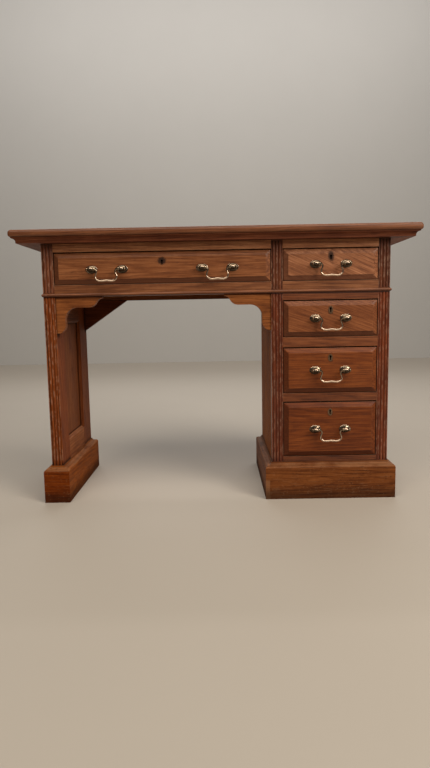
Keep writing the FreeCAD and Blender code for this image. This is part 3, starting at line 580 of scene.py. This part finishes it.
@functools.cache
def desk_surfaces():
    """Every surface of the desk at rest but its handles."""
    points = []
    triangles = []
    for name, node in frame["nodes"].items():
        if SLOT_OF[name] == "brass":
            continue
        start = len(points)
        points.extend(vertex.co[:] for vertex in node.data.vertices)
        triangles.extend([start + corner for corner in face.vertices] for face in node.data.polygons)
    return BVHTree.FromPolygons(points, triangles, all_triangles=True)


@functools.cache
def half_space(count):
    """Directions about +Z, closer together near it."""
    golden = math.pi * (3.0 - math.sqrt(5.0))
    directions = []
    for index in range(count):
        rise = math.sqrt(1.0 - (index + 0.5) / count)
        out = math.sqrt(1.0 - rise * rise)
        directions.append(Vector((out * math.cos(index * golden), out * math.sin(index * golden), rise)))
    return directions


def closed_in(surfaces, point, normal, reach, rays):
    """Share of the directions at a point that meet something close by."""
    start = point + normal * reach / 100.0
    tilt = normal.to_track_quat("Z", "Y")
    hidden = 0.0
    for direction in half_space(rays):
        distance = surfaces.ray_cast(start, tilt @ direction, reach)[3]
        if distance is not None:
            hidden += 1.0 - 0.5 * distance / reach
    return hidden / rays


def nearest_side(point, low, high):
    """Which of the four sides of a mitred frame a point belongs to."""
    gaps = (point.y - low.y, high.x - point.x, high.y - point.y, point.x - low.x)
    return gaps.index(min(gaps))


def ease_arrises(bm, ease, shortest):
    """Join flat faces and round the outer arrises, but not the short ones."""
    rubbed = bm.faces.layers.float.new("arris")
    bmesh.ops.dissolve_limit(bm, angle_limit=FLAT, verts=bm.verts, edges=bm.edges)
    arrises = []
    for edge in bm.edges:
        if len(edge.link_faces) == 2 and edge.calc_length() > shortest:
            if edge.calc_face_angle_signed() > OUTER:
                arrises.append(edge)
    made = bmesh.ops.bevel(
        bm, geom=arrises, offset=ease, segments=2, profile=0.5, affect="EDGES", clamp_overlap=True,
    )
    for face in made["faces"]:
        face[rubbed] = 1.0


def separate_boards(bm):
    """Faces that hang together, in groups."""
    seen = set()
    groups = []
    for first in bm.faces:
        if first in seen:
            continue
        seen.add(first)
        group = [first]
        for face in group:
            for edge in face.edges:
                for other in edge.link_faces:
                    if other not in seen:
                        seen.add(other)
                        group.append(other)
        groups.append(group)
    return groups


def reach_of(faces):
    axes = list(zip(*(vertex.co for face in faces for vertex in face.verts)))
    return Vector([min(axis) for axis in axes]), Vector([max(axis) for axis in axes])


def even_cuts(low, high, cell):
    """Places at even steps, and closer near the two ends."""
    steps = max(1, round((high - low) / cell))
    cuts = [low + (high - low) * step / steps for step in range(1, steps)]
    if high - low > 3.0 * END_CUTS[-1]:
        cuts += [low + step for step in END_CUTS] + [high - step for step in END_CUTS]
    return cuts


def cut_board(bm, faces, cuts):
    """Cut one board across at the places given for each axis."""
    edges = {edge for face in faces for edge in face.edges}
    corners = {vertex for face in faces for vertex in face.verts}
    whole = sorted(corners, key=lambda part: part.index) + sorted(edges, key=lambda part: part.index) + faces
    for axis, places in enumerate(cuts):
        normal = Vector((axis == X, axis == Y, axis == Z))
        for place in sorted(places):
            made = bmesh.ops.bisect_plane(bm, geom=whole, dist=NEAR, plane_co=normal * place, plane_no=normal)
            whole = made["geom"]
    return [part for part in whole if isinstance(part, bmesh.types.BMFace)]


def mark_grain(bm, draw, level, slant):
    """Cut each board into cells and place it in a trunk, with the grain along its longest side.

    The grain of a level board never runs upwards. A wide board is glued up from planks, each from its own
    trunk. A slant turns the grain away from the long side.
    """
    look = bpy.context.scene.desk_wood
    grain = bm.loops.layers.float_vector.new("grain")
    board = bm.loops.layers.float.new("board")
    bm.verts.index_update()
    bm.edges.index_update()
    for faces in separate_boards(bm):
        low, high = reach_of(faces)
        along, across, through = sorted(range(3), key=lambda axis: low[axis] - high[axis])
        if level and along == Z:
            along, across = across, along
        cuts = [even_cuts(low[axis], high[axis], look.cell) for axis in range(3)]
        planks = max(1, round((high - low)[across] / look.plank))
        width = (high - low)[across] / planks
        joints = [low[across] + width * plank for plank in range(1, planks)]
        clear = [place for place in cuts[across] if all(abs(place - joint) > MM for joint in joints)]
        cuts[across] = clear + joints
        trunks = []
        for plank in range(planks):
            start = draw.uniform(0.0, 20.0)
            aside = draw.uniform(-0.05, 0.05) - width * (plank + 0.5)
            depth = draw.choice((-1.0, 1.0)) * draw.uniform(0.025, 0.075)
            trunks.append((start, aside, depth, draw.random()))
        for face in cut_board(bm, faces, cuts):
            plank = int((face.calc_center_median()[across] - low[across]) / width)
            start, aside, depth, tone = trunks[min(max(plank, 0), planks - 1)]
            for loop in face.loops:
                place = loop.vert.co - low
                run = place[along] * math.cos(slant) - place[across] * math.sin(slant)
                rise = place[along] * math.sin(slant) + place[across] * math.cos(slant)
                loop[grain] = Vector((run + start, rise + aside, place[through] + depth))
                loop[board] = tone


def mark_occlusion(bm, surfaces, reach, rays):
    """Mark how closed in each corner is, and which way each face looks."""
    grime = bm.verts.layers.float.new("grime")
    facing = bm.faces.layers.float_vector.new("facing")
    bm.normal_update()
    for face in bm.faces:
        face[facing] = face.normal
    for vertex in bm.verts:
        vertex[grime] = closed_in(surfaces, vertex.co, vertex.normal, reach, rays)


def merged(source, faces):
    """Faces of a node with their shared corners joined."""
    bm = bmesh.new()
    for face in faces:
        bm.faces.new([bm.verts.new(source.vertices[corner].co) for corner in face.vertices])
    bmesh.ops.remove_doubles(bm, verts=bm.verts, dist=WELD)
    return bm


def joined(parts):
    """Several shapes in one, in their order."""
    whole = bmesh.new()
    for bm in parts:
        part = bpy.data.meshes.new("part")
        bm.to_mesh(part)
        bm.free()
        whole.from_mesh(part)
        bpy.data.meshes.remove(part)
    return whole


def shaded_mesh(name, bm, sharp):
    mesh = bpy.data.meshes.new(name)
    bm.to_mesh(mesh)
    bm.free()
    mesh.shade_smooth()
    mesh.set_sharp_from_angle(angle=sharp)
    return mesh


def new_piece(name, data):
    piece = bpy.data.objects.new(name, data)
    bpy.context.scene.collection.objects.link(piece)
    return piece


def baked(piece):
    """A piece as its modifiers leave it, in a plain mesh."""
    bpy.context.view_layer.update()
    shown = piece.evaluated_get(bpy.context.evaluated_depsgraph_get())
    mesh = bpy.data.meshes.new_from_object(shown)
    piece.modifiers.clear()
    if piece.type == "MESH":
        piece.data = mesh
        return piece
    name = piece.name
    bpy.data.objects.remove(piece)
    return new_piece(name, mesh)


def stand_for(piece, node):
    """Let a piece ride on its node's body in the node's place."""
    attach(piece, BODY_OF[node])
    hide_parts(node)


def finish(node, bm, material):
    """A node's new shape, with a material, in the node's place."""
    name = node + "_finished"
    piece = new_piece(name, shaded_mesh(name, bm, SHARP))
    normals = piece.modifiers.new("flat faces stay flat", "WEIGHTED_NORMAL")
    normals.keep_sharp = True
    piece = baked(piece)
    piece.data.materials.clear()
    piece.data.materials.append(material)
    stand_for(piece, node)


def finish_boards(node, material, slant=0.0):
    """A node's boards with eased arrises and the marks that the wood reads."""
    look = bpy.context.scene.desk_wood
    source = frame["nodes"][node].data
    low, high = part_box(node)
    draw = random.Random(node)
    mitred = node in MITRED
    sides = {}
    for face in source.polygons:
        inside = face.center - face.normal * 0.1 * MM
        sides.setdefault(nearest_side(inside, low, high) if mitred else 0, []).append(face)
    parts = []
    for side in sorted(sides):
        bm = merged(source, sides[side])
        ease_arrises(bm, look.ease, SHORTEST_ARRIS)
        mark_grain(bm, draw, mitred, slant)
        mark_occlusion(bm, desk_surfaces(), look.occlusion_reach, look.occlusion_rays)
        parts.append(bm)
    finish(node, joined(parts), material)


def finish_all(materials):
    """Finish the boards of several nodes."""
    for node, material in materials.items():
        finish_boards(node, material)


def finish_metal(node, material):
    """A metal node with its arrises eased."""
    look = bpy.context.scene.desk_brass
    source = frame["nodes"][node].data
    bm = merged(source, source.polygons)
    ease_arrises(bm, look.ease, SHORTEST_METAL_ARRIS)
    mark_occlusion(bm, desk_surfaces(), look.occlusion_reach, LOCK_RAYS)
    finish(node, bm, material)


# Metal


def brass(name):
    """Brass, bright where hands rub it and dull in its hollows, with painted highlights on the rims and head
    tops of the posts and painted shade low on them.
    """
    look = bpy.context.scene.desk_brass
    paint = Paint(name)
    patches = paint.noise(TARNISH, 4.0, 0.65)
    fine = paint.noise(PITTING)
    handled = paint.smooth(paint.mark("handled"), 0.25, 0.7)
    hollow = paint.smooth(paint.mark("grime"), 0.08, 0.34)
    # Tarnish in the hollows, and painted shade that deepens downwards on the posts
    hidden = paint.math("MAXIMUM", hollow, paint.mark("sheltered") * 0.92)
    tarnish_and_shade = paint.math("MAXIMUM", paint.smooth(patches, 0.35, 0.75) * (0.6 - handled * 0.45), hidden)
    return paint.surface({
        "Base Color": paint.mix(tarnish_and_shade, paint.mix(handled, look.aged, look.bright), look.dull),
        "Metallic": 1.0,
        "Roughness": 0.11 + tarnish_and_shade * 0.14 + (fine - 0.5) * 0.05,
        "Normal": paint.bump(fine, 0.06, 0.0002),
    })


def lock_brass(name):
    """Tarnished brass, darker on the keyhole plates in front."""
    look = bpy.context.scene.desk_brass
    paint = Paint(name)
    patches = paint.noise(LOCK_TARNISH, 4.0, 0.6)
    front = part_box("upper_drawer_front")[0].y
    in_front = 1.0 - paint.smooth(paint.split(paint.spot)[Y], front, front + 2.0 * MM)
    shade = paint.mix(paint.smooth(patches, 0.35, 0.65), look.bright, look.dull)
    return paint.surface({
        "Base Color": paint.mix(in_front * 0.92, shade, look.plate),
        "Metallic": 0.9,
        "Roughness": 0.36 + (patches - 0.5) * 0.3,
        "Normal": paint.bump(patches, 0.1, 0.0003),
    })


def lock_steel(name):
    """Brushed steel with a little rust."""
    look = bpy.context.scene.desk_brass
    paint = Paint(name)
    brushed = paint.noise(BRUSHING, 3.0)
    rust = paint.smooth(paint.noise(RUST, 4.0), 0.55, 0.72)
    return paint.surface({
        "Base Color": paint.mix(rust * 0.7, look.steel, look.dull),
        "Metallic": 1.0 - rust * 0.6,
        "Roughness": 0.32 + brushed * 0.2 + rust * 0.3,
        "Normal": paint.bump(brushed, 0.08, 0.0002),
    })


def lathe(profile, sides, wide=1.0, high=1.0):
    """A shape turned about the Y axis, from places along it and radii."""
    bm = bmesh.new()
    rings = []
    for along, radius in profile:
        ring = []
        for step in range(sides):
            angle = 2.0 * math.pi * step / sides
            corner = (radius * wide * math.cos(angle), along, radius * high * math.sin(angle))
            ring.append(bm.verts.new(corner))
        rings.append(ring)
    for near, far in zip(rings, rings[1:]):
        for step in range(sides):
            after = (step + 1) % sides
            bm.faces.new((near[step], near[after], far[after], far[step]))
    bm.faces.new(rings[0])
    bm.faces.new(rings[-1])
    bmesh.ops.recalc_face_normals(bm, faces=bm.faces)
    return bm


def nut_shape(behind):
    """The square nut inside a drawer's front."""
    nut = bmesh.new()
    bmesh.ops.create_cube(nut, size=1.0)
    bmesh.ops.scale(nut, vec=NUT, verts=nut.verts)
    bmesh.ops.translate(nut, vec=(0.0, behind + NUT[Y] / 2, 0.0), verts=nut.verts)
    bmesh.ops.bevel(nut, geom=nut.edges[:], offset=NUT_EASE, segments=2, profile=0.5, affect="EDGES")
    return nut


def post_mesh(front, behind):
    """One post about its bail's pivot, with its rose and its nut."""
    look = bpy.context.scene.desk_brass
    line = [(behind + out * MM, radius * MM) for out, radius in SHANK]
    line += [(front - out * MM, radius * MM) for out, radius in STEM]
    for step in range(HEAD_STEPS + 1):
        angle = HEAD_ARC * (1.0 - step / HEAD_STEPS)
        line.append((-look.ball * math.cos(angle), max(look.ball * math.sin(angle), 0.05 * MM)))
    post = lathe(line, POST_SIDES, POST_WIDE, POST_HIGH)
    rim = [(front - out * MM, share) for out, share in ROSE]
    rose = lathe(rim, ROSE_SIDES, look.rose_width / 2, look.rose_height / 2)
    whole = joined((post, rose, nut_shape(behind)))
    mark_occlusion(whole, BVHTree.FromBMesh(whole), look.occlusion_reach, POST_RAYS)
    # Painted shade that deepens downwards over the post and rose, and painted highlights on the rose's rim
    # and the top of the head
    sheltered = whole.verts.layers.float.new("sheltered")
    handled = whole.verts.layers.float.new("handled")
    for vertex in whole.verts:
        across = 2.0 * vertex.co.x / look.rose_width
        above = 2.0 * vertex.co.z / look.rose_height
        on_rim = math.hypot(across, above) > 0.86
        on_head = vertex.co.y < front - 9.0 * MM and above > 0.0
        vertex[sheltered] = min(max(0.58 - 1.5 * above, 0.0), 1.0)
        vertex[handled] = 0.56 if (on_rim or on_head) and vertex.co.y < front else 0.0
    return shaded_mesh("post", whole, SHARP_TURNED)


def screw_mesh(radius):
    """A slotted screw head with its back on the XZ plane, facing +Y."""
    rise = radius * 0.45
    slot = radius * 0.16
    dome = [(0.0, radius), (rise * 0.4, radius * 0.97), (rise * 0.75, radius * 0.8), (rise, radius * 0.45)]
    bm = lathe(dome, SCREW_SIDES)
    for side in (-slot * 1.1, -slot, slot, slot * 1.1):
        whole = bm.verts[:] + bm.edges[:] + bm.faces[:]
        bmesh.ops.bisect_plane(bm, geom=whole, dist=NEAR, plane_co=(side, 0.0, 0.0), plane_no=(1.0, 0.0, 0.0))
    for vertex in bm.verts:
        if abs(vertex.co.x) < slot * 1.05:
            vertex.co.y = min(vertex.co.y, rise * 0.3)
    return shaded_mesh("screw", bm, SHARP_TURNED)


@functools.cache
def rows_tree():
    """Copies of a shape: groups at even steps, and like pieces in each group."""
    rows = Tree("rows_of_like_pieces", [
        ("Start", "Vector"), ("Groups", "Int"), ("Group Step", "Vector"), ("Pieces", "Int"),
        ("Piece Step", "Vector"),
    ])
    given = rows.given
    inputs = {"Count": given["Groups"], "Start Location": given["Start"], "Offset": given["Group Step"]}
    groups = rows.add("GeometryNodeMeshLine", inputs, mode="OFFSET")
    inputs = {"Count": given["Pieces"], "Offset": given["Piece Step"]}
    line = rows.add("GeometryNodeMeshLine", inputs, mode="OFFSET")
    lines = rows.add("GeometryNodeInstanceOnPoints", {"Points": groups, "Instance": line})
    points = rows.add("GeometryNodeRealizeInstances", {"Geometry": lines})
    inputs = {"Points": points, "Instance": given["Geometry"]}
    return rows.end(rows.add("GeometryNodeInstanceOnPoints", inputs))


@functools.cache
def sweep_tree():
    """A wire along a curve, as thick as the bail's outline says."""
    sweep = Tree("bail_sweep", [("Boss", "Float"), ("Rings", "Int"), ("Sides", "Int")])
    given = sweep.given
    line = {"Curve": given["Geometry"]}
    smooth = sweep.add("GeometryNodeCurveSplineType", line, spline_type="CATMULL_ROM")
    even = sweep.add("GeometryNodeResampleCurve", {"Curve": smooth, "Count": given["Rings"]})
    half = sweep.math("PINGPONG", sweep.add("GeometryNodeSplineParameter"), 0.5) * 2.0
    radius = sweep.add("ShaderNodeFloatCurve", {"Value": half}, outline=BAIL_OUTLINE) * given["Boss"]
    inputs = {"Geometry": even, "Name": "handled", "Value": half}
    handled = sweep.add("GeometryNodeStoreNamedAttribute", inputs, data_type="FLOAT", domain="POINT")
    ring = sweep.add("GeometryNodeCurvePrimitiveCircle", {"Resolution": given["Sides"], "Radius": 1.0})
    inputs = {"Curve": handled, "Profile Curve": ring, "Scale": radius, "Fill Caps": True}
    return sweep.end(sweep.add("GeometryNodeCurveToMesh", inputs))


def grown(piece, tree, values):
    """Run a tree on a piece and keep the plain mesh."""
    modifier = piece.modifiers.new(tree.name, "NODES")
    modifier.node_group = tree
    for socket in tree.interface.items_tree:
        if socket.in_out == "INPUT" and socket.name in values:
            modifier[socket.identifier] = values[socket.name]
    return baked(piece)


def bail_joints(drawer):
    """The swing joints of a drawer's bails, from left to right."""
    found = [joint for joint in frame["joints"] if joint["parent"] == drawer and joint["type"] == "hinge"]
    return sorted(found, key=lambda joint: joint["pos_m"][X])


def bail_points(pivot, spacing):
    """Points along a swan-neck bail, from right to left."""
    widen = spacing / 2 - BAIL_HALF
    points = [(across * MM + widen, -down * MM) for across, down in BAIL_LINE]
    points += [(-across, down) for across, down in reversed(points[:-1])]
    return [Vector((pivot[X] + across, pivot[Y], pivot[Z] + down)) for across, down in points]


def add_bail(joint, material):
    look = bpy.context.scene.desk_brass
    curve = bpy.data.curves.new(joint["child"] + "_line", "CURVE")
    curve.dimensions = "3D"
    points = bail_points(joint["pos_m"], look.post_spacing)
    spline = curve.splines.new("POLY")
    spline.points.add(len(points) - 1)
    for place, point in zip(spline.points, points):
        place.co = (*point, 1.0)
    values = {"Boss": look.boss, "Rings": BAIL_RINGS, "Sides": BAIL_SIDES, "Material": material}
    piece = grown(new_piece(joint["child"] + "_finished", curve), sweep_tree(), values)
    piece.data.shade_smooth()
    piece.data.set_sharp_from_angle(angle=SHARP)
    stand_for(piece, joint["child"])


def pairs(name, mesh, material, start, apart, groups, step):
    """Groups of two like pieces that stand apart along X."""
    values = {
        "Start": start, "Groups": groups, "Group Step": step,
        "Pieces": 2, "Piece Step": Vector((apart, 0.0, 0.0)), "Material": material,
    }
    return grown(new_piece(name, mesh), rows_tree(), values)


def add_posts(drawer, material):
    spacing = bpy.context.scene.desk_brass.post_spacing
    joints = bail_joints(drawer)
    first = Vector(joints[0]["pos_m"])
    last = Vector(joints[-1]["pos_m"])
    start = first - Vector((spacing / 2, 0.0, 0.0))
    step = (last - first) / max(1, len(joints) - 1)
    low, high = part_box(drawer + "_front")
    post = post_mesh(low.y - first.y, high.y - first.y)
    piece = pairs(drawer + "_mounts_finished", post, material, start, spacing, len(joints), step)
    stand_for(piece, drawer + "_mounts")


def add_lock_screws(drawer, material):
    """The four screws of a lock's case."""
    low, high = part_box(drawer + "_lock")
    foot = low.z + SCREW_UP
    start = Vector((middle_of(drawer + "_bolt", X) - SCREW_ASIDE, high.y, foot))
    step = Vector((0.0, 0.0, high.z - SCREW_DOWN - foot))
    screw = screw_mesh(bpy.context.scene.desk_brass.screw)
    piece = pairs(drawer + "_lock_screws", screw, material, start, 2 * SCREW_ASIDE, 2, step)
    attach(piece, drawer)


# Stage


def add_sheet(name, tone, corners):
    """A plain matt sheet of the stage, a little cloudy."""
    paint = Paint("pale_" + name)
    cloud = paint.noise(CLOUDS, 3.0)
    deep = tuple(part * 0.96 for part in tone)
    mesh = bpy.data.meshes.new(name)
    mesh.from_pydata(corners, [], [(0, 1, 2, 3)])
    mesh.materials.append(paint.surface({"Base Color": paint.mix(cloud, deep, tone), "Roughness": 0.65}))
    new_piece(name, mesh)


def add_surround(scene):
    look = scene.desk_stage
    world = bpy.data.worlds.new("surround")
    world.use_nodes = True
    background = world.node_tree.nodes["Background"]
    background.inputs["Color"].default_value = (*look.sky, 1.0)
    background.inputs["Strength"].default_value = look.sky_strength
    scene.world = world


def add_light(name, strength, place, aim, size, tone):
    light = bpy.data.lights.new(name, "AREA")
    light.shape = "RECTANGLE"
    light.size, light.size_y = size
    light.energy = strength
    light.color = tone
    lamp = new_piece(name, light)
    lamp.location = place
    lamp.rotation_euler = (Vector(aim) - Vector(place)).to_track_quat("-Z", "Y").to_euler()


def add_camera(scene):
    look = scene.desk_stage
    data = bpy.data.cameras.new("camera")
    data.lens = look.lens
    data.sensor_width = 36.0
    data.clip_start = 0.05
    camera = new_piece("camera", data)
    yaw = Matrix.Rotation(look.camera_yaw, 4, "Z")
    pitch = Matrix.Rotation(math.pi / 2 + look.camera_pitch, 4, "X")
    roll = Matrix.Rotation(look.camera_roll, 4, "Z")
    camera.matrix_world = Matrix.Translation(look.camera_place) @ yaw @ pitch @ roll
    scene.camera = camera
    scene.view_settings.view_transform = "Standard"


# Operators


class DESK_OT_top(bpy.types.Operator):
    """Finish the top board and the moulding under it"""

    bl_idname = "desk.top"
    bl_label = "Top"

    def execute(self, context):
        top = oak("top_oak", tint=(0.79, 0.7, 0.72), rubbed=0.35)
        moulding = oak("moulding_oak", polish=0.0, gloss=0.12, tint=(0.92, 0.76, 0.98), rubbed=0.3)
        finish_all({"top_board": top, "bed_moulding": moulding})
        return {"FINISHED"}


class DESK_OT_frieze(bpy.types.Operator):
    """Finish the frieze, its runners and the bead at its foot"""

    bl_idname = "desk.frieze"
    bl_label = "Frieze"

    def execute(self, context):
        # Painted light: the rails above the frieze drawers are lighter, against the shade under the moulding
        upper = (Z, middle_of("frieze_rails", Z), (1.75, 1.95, 2.2))
        rails = oak("frieze_rail_oak", tint=(1.08, 1.04, 1.14), soiled=0.15, apart=upper)
        # Painted shade on the faces of the bead that look down
        bead = oak("bead_oak", tint=(1.1, 1.04, 1.1), soiled=0.3, shaded=0.9)
        stiles = oak("frieze_stile_oak", tint=(0.76, 0.53, 0.45), crested=0.4)
        sides = oak("frieze_end_oak", polish=0.1, gloss=0.12, tint=(0.95, 0.85, 0.8))
        bare = lining("frieze_inside")
        finish_all({
            "frieze_stiles": stiles, "frieze_ends": sides, "frieze_partition": bare, "frieze_back": sides,
            "frieze_rails": rails, "frieze_runners": bare, "bead": bead,
        })
        return {"FINISHED"}


class DESK_OT_pedestal(bpy.types.Operator):
    """Finish the pedestal and its plinth"""

    bl_idname = "desk.pedestal"
    bl_label = "Pedestal"

    def execute(self, context):
        # A painted shadow under the bead on the rails and stiles
        line = bead_shadow_band()
        # Painted light: the inner face by the kneehole is lighter and more orange than the outer face
        outer = (X, middle_of("pedestal_sides", X), (0.6, 0.63, 1.4))
        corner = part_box("pedestal_plinth")[0]
        rails = oak("pedestal_rail_oak", tint=(0.92, 0.73, 0.68), apart=line)
        stiles = oak("pedestal_stile_oak", tint=(0.7, 0.37, 0.25), crested=0.27, apart=line)
        sides = oak("pedestal_side_oak", polish=0.0, gloss=0.04, tint=(1.62, 1.36, 0.56), apart=outer)
        back = oak("pedestal_back_oak", polish=0.1, gloss=0.12, tint=(0.95, 0.85, 0.8))
        plinth = oak(
            "pedestal_plinth_oak", polish=0.0, gloss=0.1, tint=(1.06, 0.9, 0.66), rubbed=0.7, scuffed=0.65,
            bare_end=corner,
        )
        bare = lining("pedestal_inside")
        finish_all({
            "pedestal_stiles": stiles, "pedestal_sides": sides, "pedestal_back": back, "pedestal_base": bare,
            "pedestal_rails": rails, "pedestal_runners": bare, "pedestal_plinth": plinth,
        })
        return {"FINISHED"}


class DESK_OT_support(bpy.types.Operator):
    """Finish the panelled support at the left and its plinth"""

    bl_idname = "desk.support"
    bl_label = "Left Support"

    def execute(self, context):
        # Painted shade: the upper rail of the support is darker, as in the shade under the frieze
        upper = (Z, middle_of("leg_rails", Z), (0.68, 0.66, 0.64))
        behind = (Y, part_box("leg_plinth")[0].y + 3.0 * MM, (1.38, 1.72, 1.3))
        stile = oak(
            "support_stile_oak", polish=0.0, gloss=0.08, tint=(0.98, 0.62, 0.38), crested=0.4,
            apart=bead_shadow_band(),
        )
        rear = oak("support_rear_oak", polish=0.0, gloss=0.06, tint=(0.8, 0.56, 0.45))
        panel = oak("support_panel_oak", polish=0.0, gloss=0.06, tint=(1.02, 0.84, 0.74))
        rails = oak("support_rail_oak", polish=0.0, gloss=0.06, tint=(1.02, 0.84, 0.74), apart=upper)
        plinth = oak(
            "support_plinth_oak", polish=0.0, gloss=0.04, tint=(0.94, 0.52, 0.2), rubbed=0.6, scuffed=0.65,
            apart=behind,
        )
        finish_all({
            "leg_front_stile": stile, "leg_rear_stile": rear, "leg_rails": rails, "leg_panel": panel,
            "leg_plinth": plinth,
        })
        return {"FINISHED"}


class DESK_OT_brackets(bpy.types.Operator):
    """Finish the brackets and the gusset of the kneehole"""

    bl_idname = "desk.brackets"
    bl_label = "Brackets"

    def execute(self, context):
        bracket = oak("bracket_oak", polish=0.0, gloss=0.12, tint=(1.48, 1.36, 1.16), apart=bead_shadow_band())
        # Painted shade: the gusset is darkened for the shade at the back of the kneehole
        gusset = oak("gusset_oak", polish=0.0, gloss=0.06, tint=(0.52, 0.36, 0.3))
        finish_all({"bracket_left": bracket, "bracket_right": bracket, "rear_gusset": gusset})
        return {"FINISHED"}


class DESK_OT_drawers(bpy.types.Operator):
    """Finish the drawers"""

    bl_idname = "desk.drawers"
    bl_label = "Drawers"

    def execute(self, context):
        inside = lining("drawer_lining")
        for name, (tint, slant, reach) in DRAWERS.items():
            drawer = name + "_drawer"
            stain = None
            if reach:
                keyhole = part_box(drawer + "_lock")[0].z + KEYHOLE_RISE
                stain = (middle_of(drawer + "_bolt", X), keyhole, *reach)
            # Painted shade on the bevels of the fronts that look down or to the left
            front = oak(
                drawer + "_oak", polish=0.2, gloss=0.2, tint=tint, rubbed=0.65, shaded=0.75, stain=stain,
            )
            finish_boards(drawer + "_front", front, slant)
            finish_boards(drawer + "_box", inside)
            finish_boards(drawer + "_bottom", inside)
        return {"FINISHED"}


class DESK_OT_handles(bpy.types.Operator):
    """Make the posts, roses and bails of the handles"""

    bl_idname = "desk.handles"
    bl_label = "Handles"

    def execute(self, context):
        material = brass("antique_brass")
        for name in DRAWERS:
            drawer = name + "_drawer"
            add_posts(drawer, material)
            for joint in bail_joints(drawer):
                add_bail(joint, material)
        return {"FINISHED"}


class DESK_OT_locks(bpy.types.Operator):
    """Finish the locks and their bolts, and add the locks' screws"""

    bl_idname = "desk.locks"
    bl_label = "Locks"

    def execute(self, context):
        case = lock_brass("tarnished_brass")
        bolt = lock_steel("bolt_steel")
        for name in DRAWERS:
            finish_metal(name + "_drawer_lock", case)
            finish_metal(name + "_drawer_bolt", bolt)
            add_lock_screws(name + "_drawer", bolt)
        return {"FINISHED"}


class DESK_OT_stage(bpy.types.Operator):
    """Set the floor, the light and the camera"""

    bl_idname = "desk.stage"
    bl_label = "Stage"

    def execute(self, context):
        look = context.scene.desk_stage
        add_sheet("floor", look.floor, FLOOR)
        add_sheet("backdrop", look.backdrop, BACKDROP)
        add_surround(context.scene)
        for name, (place, aim, size, tone) in LIGHTS.items():
            add_light(name, getattr(look, name), place, aim, size, tone)
        add_camera(context.scene)
        return {"FINISHED"}


OPERATORS = (
    DESK_OT_top, DESK_OT_frieze, DESK_OT_pedestal, DESK_OT_support, DESK_OT_brackets, DESK_OT_drawers,
    DESK_OT_handles, DESK_OT_locks, DESK_OT_stage,
)


class DESK_PT_finish(bpy.types.Panel):
    """The desk's pieces and the settings of their finish"""

    bl_label = "Kneehole Desk"
    bl_space_type = "VIEW_3D"
    bl_region_type = "UI"
    bl_category = "Desk"

    def draw(self, context):
        layout = self.layout
        for operator in OPERATORS:
            layout.operator(operator.bl_idname)
        for name, group in GROUPS.items():
            column = layout.column()
            for key in group.__annotations__:
                column.prop(getattr(context.scene, name), key)


CLASSES = (*GROUPS.values(), *OPERATORS, DESK_PT_finish)


def register():
    for kind in CLASSES:
        bpy.utils.register_class(kind)
    for name, group in GROUPS.items():
        setattr(bpy.types.Scene, name, PointerProperty(type=group))


def unregister():
    for name in GROUPS:
        delattr(bpy.types.Scene, name)
    for kind in reversed(CLASSES):
        bpy.utils.unregister_class(kind)


def main():
    register()
    bpy.ops.desk.top()
    bpy.ops.desk.frieze()
    bpy.ops.desk.pedestal()
    bpy.ops.desk.support()
    bpy.ops.desk.brackets()
    bpy.ops.desk.drawers()
    bpy.ops.desk.handles()
    bpy.ops.desk.locks()
    bpy.ops.desk.stage()


if __name__ == "__main__":
    main()
